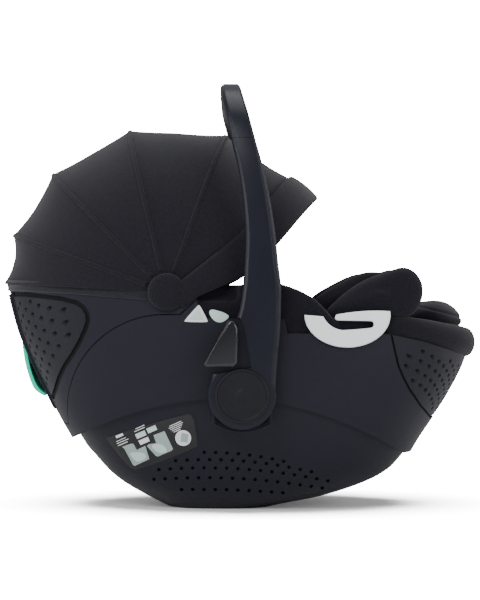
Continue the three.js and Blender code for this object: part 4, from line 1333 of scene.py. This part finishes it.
for side in (NEAR, AWAY):
    wing = finish(inlay_wing(side), COVER_CLOTH, "bucket", [f"inlay_wing_{SIDE_NAMES[side]}"],
                  degrees=80)


def leg_roll():
    """The inlay's roll under the knees: fullest in the middle, curving round the foot end."""
    section = softened([(208, 256), (222, 274), (242, 281), (262, 287), (284, 288), (300, 281), (311, 269),
                        (315, 257), (308, 249), (280, 242), (240, 242)], rounds=2)
    cx, cz = 268, 262
    rings = []
    count = 40
    for i in range(count + 1):
        across = 2 * i / count - 1
        size = max((1 - abs(across) ** 2.6) ** (1 / 2.6), 0.06) if abs(across) < 1 else 0.06
        back = 10 * across * across
        rings.append([Vector((cx + (x - cx) * size - back, 96 * across, cz + (z - cz) * size))
                      for x, z in section])
    piece = loft("leg_roll_cushion", rings)
    carve(piece, cover_bulk())
    carve(piece, foot_roll("roll", grow=0.6))
    puff(piece, voxel=4, cap=3)
    sink_seam(piece, lambda p: p.z - 274 + 0.25 * (p.x - 270), width=1.8, depth=1.6)
    return piece


knees = finish(leg_roll(), COVER_CLOTH, "bucket", ["leg_roll"], degrees=80)


def headrest():
    smaller = [(y * 0.985, 59 + (d - 59) * 0.94) for y, d in HEADREST]
    cushion = wrap("headrest_pad", softened(smaller, rounds=2), 190, 283, edge=3)
    puff(cushion, voxel=5, cap=3.5)
    sink_seam(cushion, lambda p: abs(p.y) - 66, width=2.2, depth=2.0)
    return cushion


cushion = finish(headrest(), COVER_CLOTH, "headrest", ["headrest_cushion"], degrees=80)

# ------------------------------------------------------------------ the harness
TILT = 0.46
BUCKLE_PLACE = Matrix((
    (math.cos(TILT), math.sin(TILT), 0, 44 * MM), (0, 0, 1, 0),
    (-math.sin(TILT), math.cos(TILT), 0, 132 * MM), (0, 0, 0, 1)))
OUTWARD = Vector((math.sin(TILT), 0, math.cos(TILT)))


def on_buckle(a, b, c):
    """A point in the buckle's own frame: a towards the child's knees, b across, c out from the body."""
    return BUCKLE_PLACE @ (Vector((a, c, b)) * MM) / MM


def buckle_prism(name, outline, low, high, edge):
    piece = prism(name, outline, low, high, edge)
    piece.data.transform(BUCKLE_PLACE)
    tidy_mesh(piece)
    return piece


def rounded_box(a0, a1, b0, b1, corner=3.0):
    turns = ((a1, b1, 0), (a0, b1, 90), (a0, b0, 180), (a1, b0, 270))
    points = []
    for a, b, start in turns:
        ca = a - math.copysign(corner, a - (a0 + a1) / 2)
        cb = b - math.copysign(corner, b - (b0 + b1) / 2)
        points += arc_points(ca, cb, corner, corner, start, start + 90, 5)
    return points


def webbing(name, path, width, thick, up=OUTWARD, start=0.0, stop=1.0, count=90):
    shares = [start + (stop - start) * i / count for i in range(count + 1)]
    across = [path.along(share).cross(up).normalized() for share in shares]
    out = [a.cross(path.along(share)).normalized() for a, share in zip(across, shares)]
    return ribbon(name, [path.at(share) for share in shares], across, out, width, thick)


def shoulder_path(side):
    line = [on_back(s, side * y, d) for s, y, d in ((150, 42, 27), (128, 43, 42), (90, 40, 54), (40, 34, 56))]
    return Path([*line, on_buckle(-62, side * 25, 4), on_buckle(-51, side * 22, 0)])


for side in (NEAR, AWAY):
    name = SIDE_NAMES[side]
    path = shoulder_path(side)
    strap = webbing(f"shoulder_webbing_{name}", path, 34, 1.8, count=120)
    finish(strap, WEBBING_CLOTH, None, [f"shoulder_strap_{name}"], degrees=60)
    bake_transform(strap)
    sleeve = webbing(f"shoulder_sleeve_{name}", path, 47, 7.5, start=0.21, stop=0.59, count=50)
    puff(sleeve, voxel=3.5, cap=1.5)
    carve(sleeve, webbing("strap_room", path, 37, 4, start=0.15, stop=0.65, count=50))
    sink_seam(sleeve, lambda p, way=side: (p - on_back(90, way * 40, 54)).y, width=1.4, depth=0.8)
    finish(sleeve, COVER_CLOTH, None, [f"shoulder_pad_{name}"], degrees=60)
    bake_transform(sleeve)
    lap = Path([*(Vector((x, side * y, z)) for x, y, z in ((2, 110, 128), (12, 91, 134), (20, 66, 138))),
                on_buckle(-38, side * 41, 0)])
    finish(webbing(f"lap_webbing_{name}", lap, 32, 1.8, count=40), WEBBING_CLOTH, "bucket",
           [f"lap_strap_{name}"], degrees=60)

crotch = Path([Vector((75, 0, 77)), Vector((77, 0, 98)), on_buckle(33, 0, -2)])
finish(webbing("crotch_webbing", crotch, 36, 1.8, up=Vector((1, 0, 0.2)), count=40), WEBBING_CLOTH, "bucket",
       ["crotch_strap"], degrees=60)

buckle = buckle_prism("buckle_housing", softened([(-32, -22), (24, -25), (32, -15), (32, 15), (24, 25), (-32, 22)],
                                                 rounds=2), -11, 11, 2.5)
carve(buckle, buckle_prism("well", rounded_box(-2.5, 20.5, -13.5, 13.5, 2.5), 4.5, 30, 0))
finish(buckle, SHELL_FINISH, "bucket", ["buckle_body"])
finish(buckle_prism("buckle_press_button", rounded_box(-2, 20, -13, 13, 2.5), 7.6, 12.8, 1), BUTTON_FINISH,
       "buckle_press", ["buckle_button"])
TONGUES = [(-46, -40), (-40, -24), (-32.4, -15), (-32.4, 15), (-40, 24), (-46, 40), (-46, 2), (-41, 0), (-46, -2)]
finish(buckle_prism("buckle_steel_tongues", TONGUES, -2.5, 2.5, 0.7), STEEL_FINISH, "bucket",
       ["buckle_tongues"])


def slope_plate(name, half_a, half_b, low, high, edge, corner=3):
    piece = prism(name, rounded_box(-half_a, half_a, -half_b, half_b, corner), low, high, edge)
    piece.data.transform(Matrix(((1, 0, 0, 0), (0, 0, 1, 0), (0, 1, 0, 0), (0, 0, 0, 1))))
    tidy_mesh(piece)
    return on_foot_slope(piece)


adjuster = slope_plate("strap_adjuster_frame", 17, 22, -3.5, 3.5, 1.2)
carve(adjuster, slope_plate("well", 9.5, 13.5, -1.5, 9, 0, 2))
finish(adjuster, SHELL_FINISH, "bucket", ["adjuster_housing"])
button = slope_plate("strap_adjuster_button", 9, 13, 0.6, 4.2, 0.8, 2)
finish(button, RELEASE_FINISH, "adjuster_press", ["adjuster_button"])

# ------------------------------------------------------------------ the sticker and the sewn tags
STICKER_FINISH = moulded("sticker film", (0.010, 0.010, 0.012), 0.24, depth=0.02, coat=0.3)
WHITE_INK = moulded("white print", (0.78, 0.78, 0.80), 0.4, depth=0.02)
MINT_INK = moulded("mint print", (0.56, 0.70, 0.66), 0.4, depth=0.02)
GREY_INK = moulded("grey print", (0.33, 0.42, 0.40), 0.4, depth=0.02)

STICKER = softened([(-182, 101), (-182, 95), (-153, 58), (-140, 54), (-58, 88), (-57, 93), (-63, 132), (-72, 135)],
                   rounds=1)
sticker = lay_on_hull(prism("sticker_panel", STICKER, 0, 0.45, edge=0.12, segments=1), BASE, NEAR, 0.35)
finish(sticker, STICKER_FINISH, "bucket", ["info_label"])

SLANT = Vector((0.91, 0.414))  # the way the printed rows run on the sticker
RISE = Vector((-0.414, 0.91))


def tile(centre, length, height):
    middle = Vector(centre)
    corners = ((-1, -1), (1, -1), (1, 1), (-1, 1))
    return [tuple(middle + SLANT * (a * length / 2) + RISE * (b * height / 2)) for a, b in corners]


def printed(name, shapes, material, low=0.8, hull=BASE, thick=0.22):
    pieces = [lay_on_hull(prism(name, shape, 0, thick), hull, NEAR, low) for shape in shapes]
    return finish(join(name, pieces), material, "bucket")


bars = [tile((-162.5, 97.3), 15, 0.8), tile((-160.3, 95.0), 18, 0.9), tile((-160.2, 91.5), 15, 1.1),
        tile((-136, 115.5), 13.5, 0.9), tile((-136.6, 112), 16, 0.9), tile((-164.6, 102.6), 11, 3.6)]
bars += [tile((-87.5 + 0.6 * i, 120.6 - 2.4 * i), 21 - 3.6 * abs(i - 1), 0.9) for i in range(5)]
printed("sticker_bars", bars, WHITE_INK)
printed("sticker_tiles", [tile((-135, 104.8), 14.5, 7), tile((-119.8, 112.6), 13.5, 7)], MINT_INK)
printed("sticker_pale_tile", [tile((-130.5, 96.2), 14.3, 6.6)], WHITE_INK)
block_left = [(-161.4, 87.1), (-158, 84), (-146.7, 61.4), (-144.3, 60.4), (-123.8, 70.9), (-126.2, 79.5), (-129, 89.5),
              (-141, 83.3), (-145.2, 91.9), (-149, 91.9)]
block_right = [(-117.6, 104.3), (-113.8, 93.3), (-124.3, 91.9), (-126.7, 89), (-114.8, 75.7), (-111.9, 74.7),
               (-92.9, 83.3), (-91, 85.7), (-102.4, 110.4)]
printed("sticker_blocks", [block_left, block_right], GREY_INK)
inner_left = [(-152, 79), (-146, 70), (-139, 66), (-128, 71.5), (-129.5, 79), (-140, 80.5)]
inner_right = [(-122, 90), (-112, 79.5), (-101, 80), (-99, 84), (-104, 91), (-112, 93)]
lights = [softened(inner, rounds=1) for inner in (inner_left, inner_right)]
printed("sticker_block_lights", lights, MINT_INK, low=1.02)
printed("sticker_disc", [arc_points(-77, 100.9, 10.8, 10.8, 0, 352.5, 47)], WHITE_INK)
printed("sticker_disc_square", [[tuple(Vector((-75.3, 101.6)) + Vector(p)) for p in
                                 ((-5.6, -5.6), (4.2, -7), (5.8, 4.6), (-3.8, 6.4))]], GREY_INK, low=1.02)

# two plain tags, sewn to the cover's edge and hanging over the shell's rim
triangle = softened([(-76.5, 258.5), (-42, 258), (-55, 283)], rounds=3, cut=0.07)
triangle_face = [(x * 0.62 - 57.7 * 0.38, z * 0.62 + 265.8 * 0.38) for x, z in triangle]
patch = softened([(-42.5, 271), (-39, 276), (-27, 273), (-19, 270),
                  (-14, 266), (-19, 260.5), (-27, 257), (-36, 260.5)])
printed("sewn_tag_triangle", [triangle], WHITE_INK, low=0.4, hull=UPPER, thick=0.4)
printed("sewn_tag_triangle_face", [triangle_face], MINT_INK, low=0.82, hull=UPPER)
printed("sewn_tag_patch", [patch], MINT_INK, low=0.4, hull=UPPER, thick=0.4)

# ---------------------------------------------------------- frame pieces that stay, in better finishes
kept = {
    "foam_liner": FOAM_FINISH, "headrest_frame": SHELL_FINISH, "dock_bar_rear": STEEL_FINISH,
    "dock_bar_front": STEEL_FINISH, "canopy_front_bow": CANOPY_CLOTH,
    **{f"canopy_rib_{n}": STEEL_FINISH for n in range(1, 5)},
    **{f"{part}_{name}": made for name in SIDE_NAMES.values()
       for part, made in (("pivot_axle", STEEL_FINISH), ("lock_gear", CAP_FINISH))},
}
for node, material in kept.items():
    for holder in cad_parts[node].material_slots:
        holder.material = material

for helper in (outer_body, body_wall, bar):
    bpy.data.objects.remove(helper, do_unlink=True)


# ------------------------------------------------------------------ floor, backdrop and light
def studio():
    deselect()
    bpy.ops.mesh.primitive_plane_add(size=1)
    floor = bpy.context.active_object
    floor.name = floor.data.name = "studio_floor"
    floor.data.transform(Matrix.Diagonal((14, 14, 1, 1)))
    material, tree, shader = new_material("studio floor")
    shader.inputs["Base Color"].default_value = (0.93, 0.93, 0.93, 1)
    shader.inputs["Roughness"].default_value = 0.55
    shader.inputs["Specular IOR Level"].default_value = 0.25
    shader.inputs["Emission Color"].default_value = (1, 1, 1, 1)
    # the floor glows like the backdrop to the camera; ambient occlusion dims that glow where the object stands close
    # over it, a painted contact shadow
    seen, bright = tree.nodes.new("ShaderNodeLightPath"), tree.nodes.new("ShaderNodeMath")
    bright.operation = "MULTIPLY"
    contact_shadow_ao, level = tree.nodes.new("ShaderNodeAmbientOcclusion"), tree.nodes.new("ShaderNodeMapRange")
    contact_shadow_ao.inputs["Distance"].default_value = 0.22
    level.inputs["From Min"].default_value, level.inputs["From Max"].default_value = 0.45, 1.0
    level.inputs["To Min"].default_value, level.inputs["To Max"].default_value = 0.1, 24
    link(tree, contact_shadow_ao.outputs["AO"], level.inputs["Value"])
    link(tree, seen.outputs["Is Camera Ray"], bright.inputs[0])
    link(tree, level.outputs["Result"], bright.inputs[1])
    link(tree, bright.outputs["Value"], shader.inputs["Emission Strength"])
    floor.data.materials.append(material)
    world = bpy.data.worlds.new("studio")
    world.use_nodes = True
    # a bright backdrop behind the object, and a softer glow from it onto the object
    tree = world.node_tree
    glow = tree.nodes["Background"]
    glow.inputs["Color"].default_value = (1, 1, 1, 1)
    glow.inputs["Strength"].default_value = 0.30
    backdrop = tree.nodes.new("ShaderNodeBackground")
    backdrop.inputs["Color"].default_value = (1, 1, 1, 1)
    backdrop.inputs["Strength"].default_value = 24
    seen, mix = tree.nodes.new("ShaderNodeLightPath"), tree.nodes.new("ShaderNodeMixShader")
    link(tree, seen.outputs["Is Camera Ray"], mix.inputs["Fac"])
    link(tree, glow.outputs["Background"], mix.inputs[1])
    link(tree, backdrop.outputs["Background"], mix.inputs[2])
    link(tree, mix.outputs["Shader"], tree.nodes["World Output"].inputs["Surface"])
    bpy.context.scene.world = world


def soft_light(name, place, aim, width, height, power):
    data = bpy.data.lights.new(name, "AREA")
    data.shape = "RECTANGLE"
    data.size, data.size_y, data.energy = width, height, power
    light = bpy.data.objects.new(name, data)
    bpy.context.scene.collection.objects.link(light)
    light.location = place
    light.rotation_euler = (Vector(aim) - Vector(place)).to_track_quat("-Z", "Y").to_euler()


studio()
soft_light("key", (-1.4, -3.0, 2.6), (0, 0, 0.3), 2.0, 1.6, 88)
soft_light("fill", (2.2, -2.6, 1.2), (0, 0, 0.3), 1.6, 1.6, 32)
soft_light("top", (0, 0.4, 2.6), (0, 0, 0.3), 2.4, 2.0, 36)
soft_light("left strip", (-2.2, -0.5, 0.9), (-0.1, 0, 0.25), 0.5, 1.8, 18)
soft_light("right strip", (2.3, 0.3, 0.9), (0.1, 0, 0.25), 0.5, 1.8, 14)
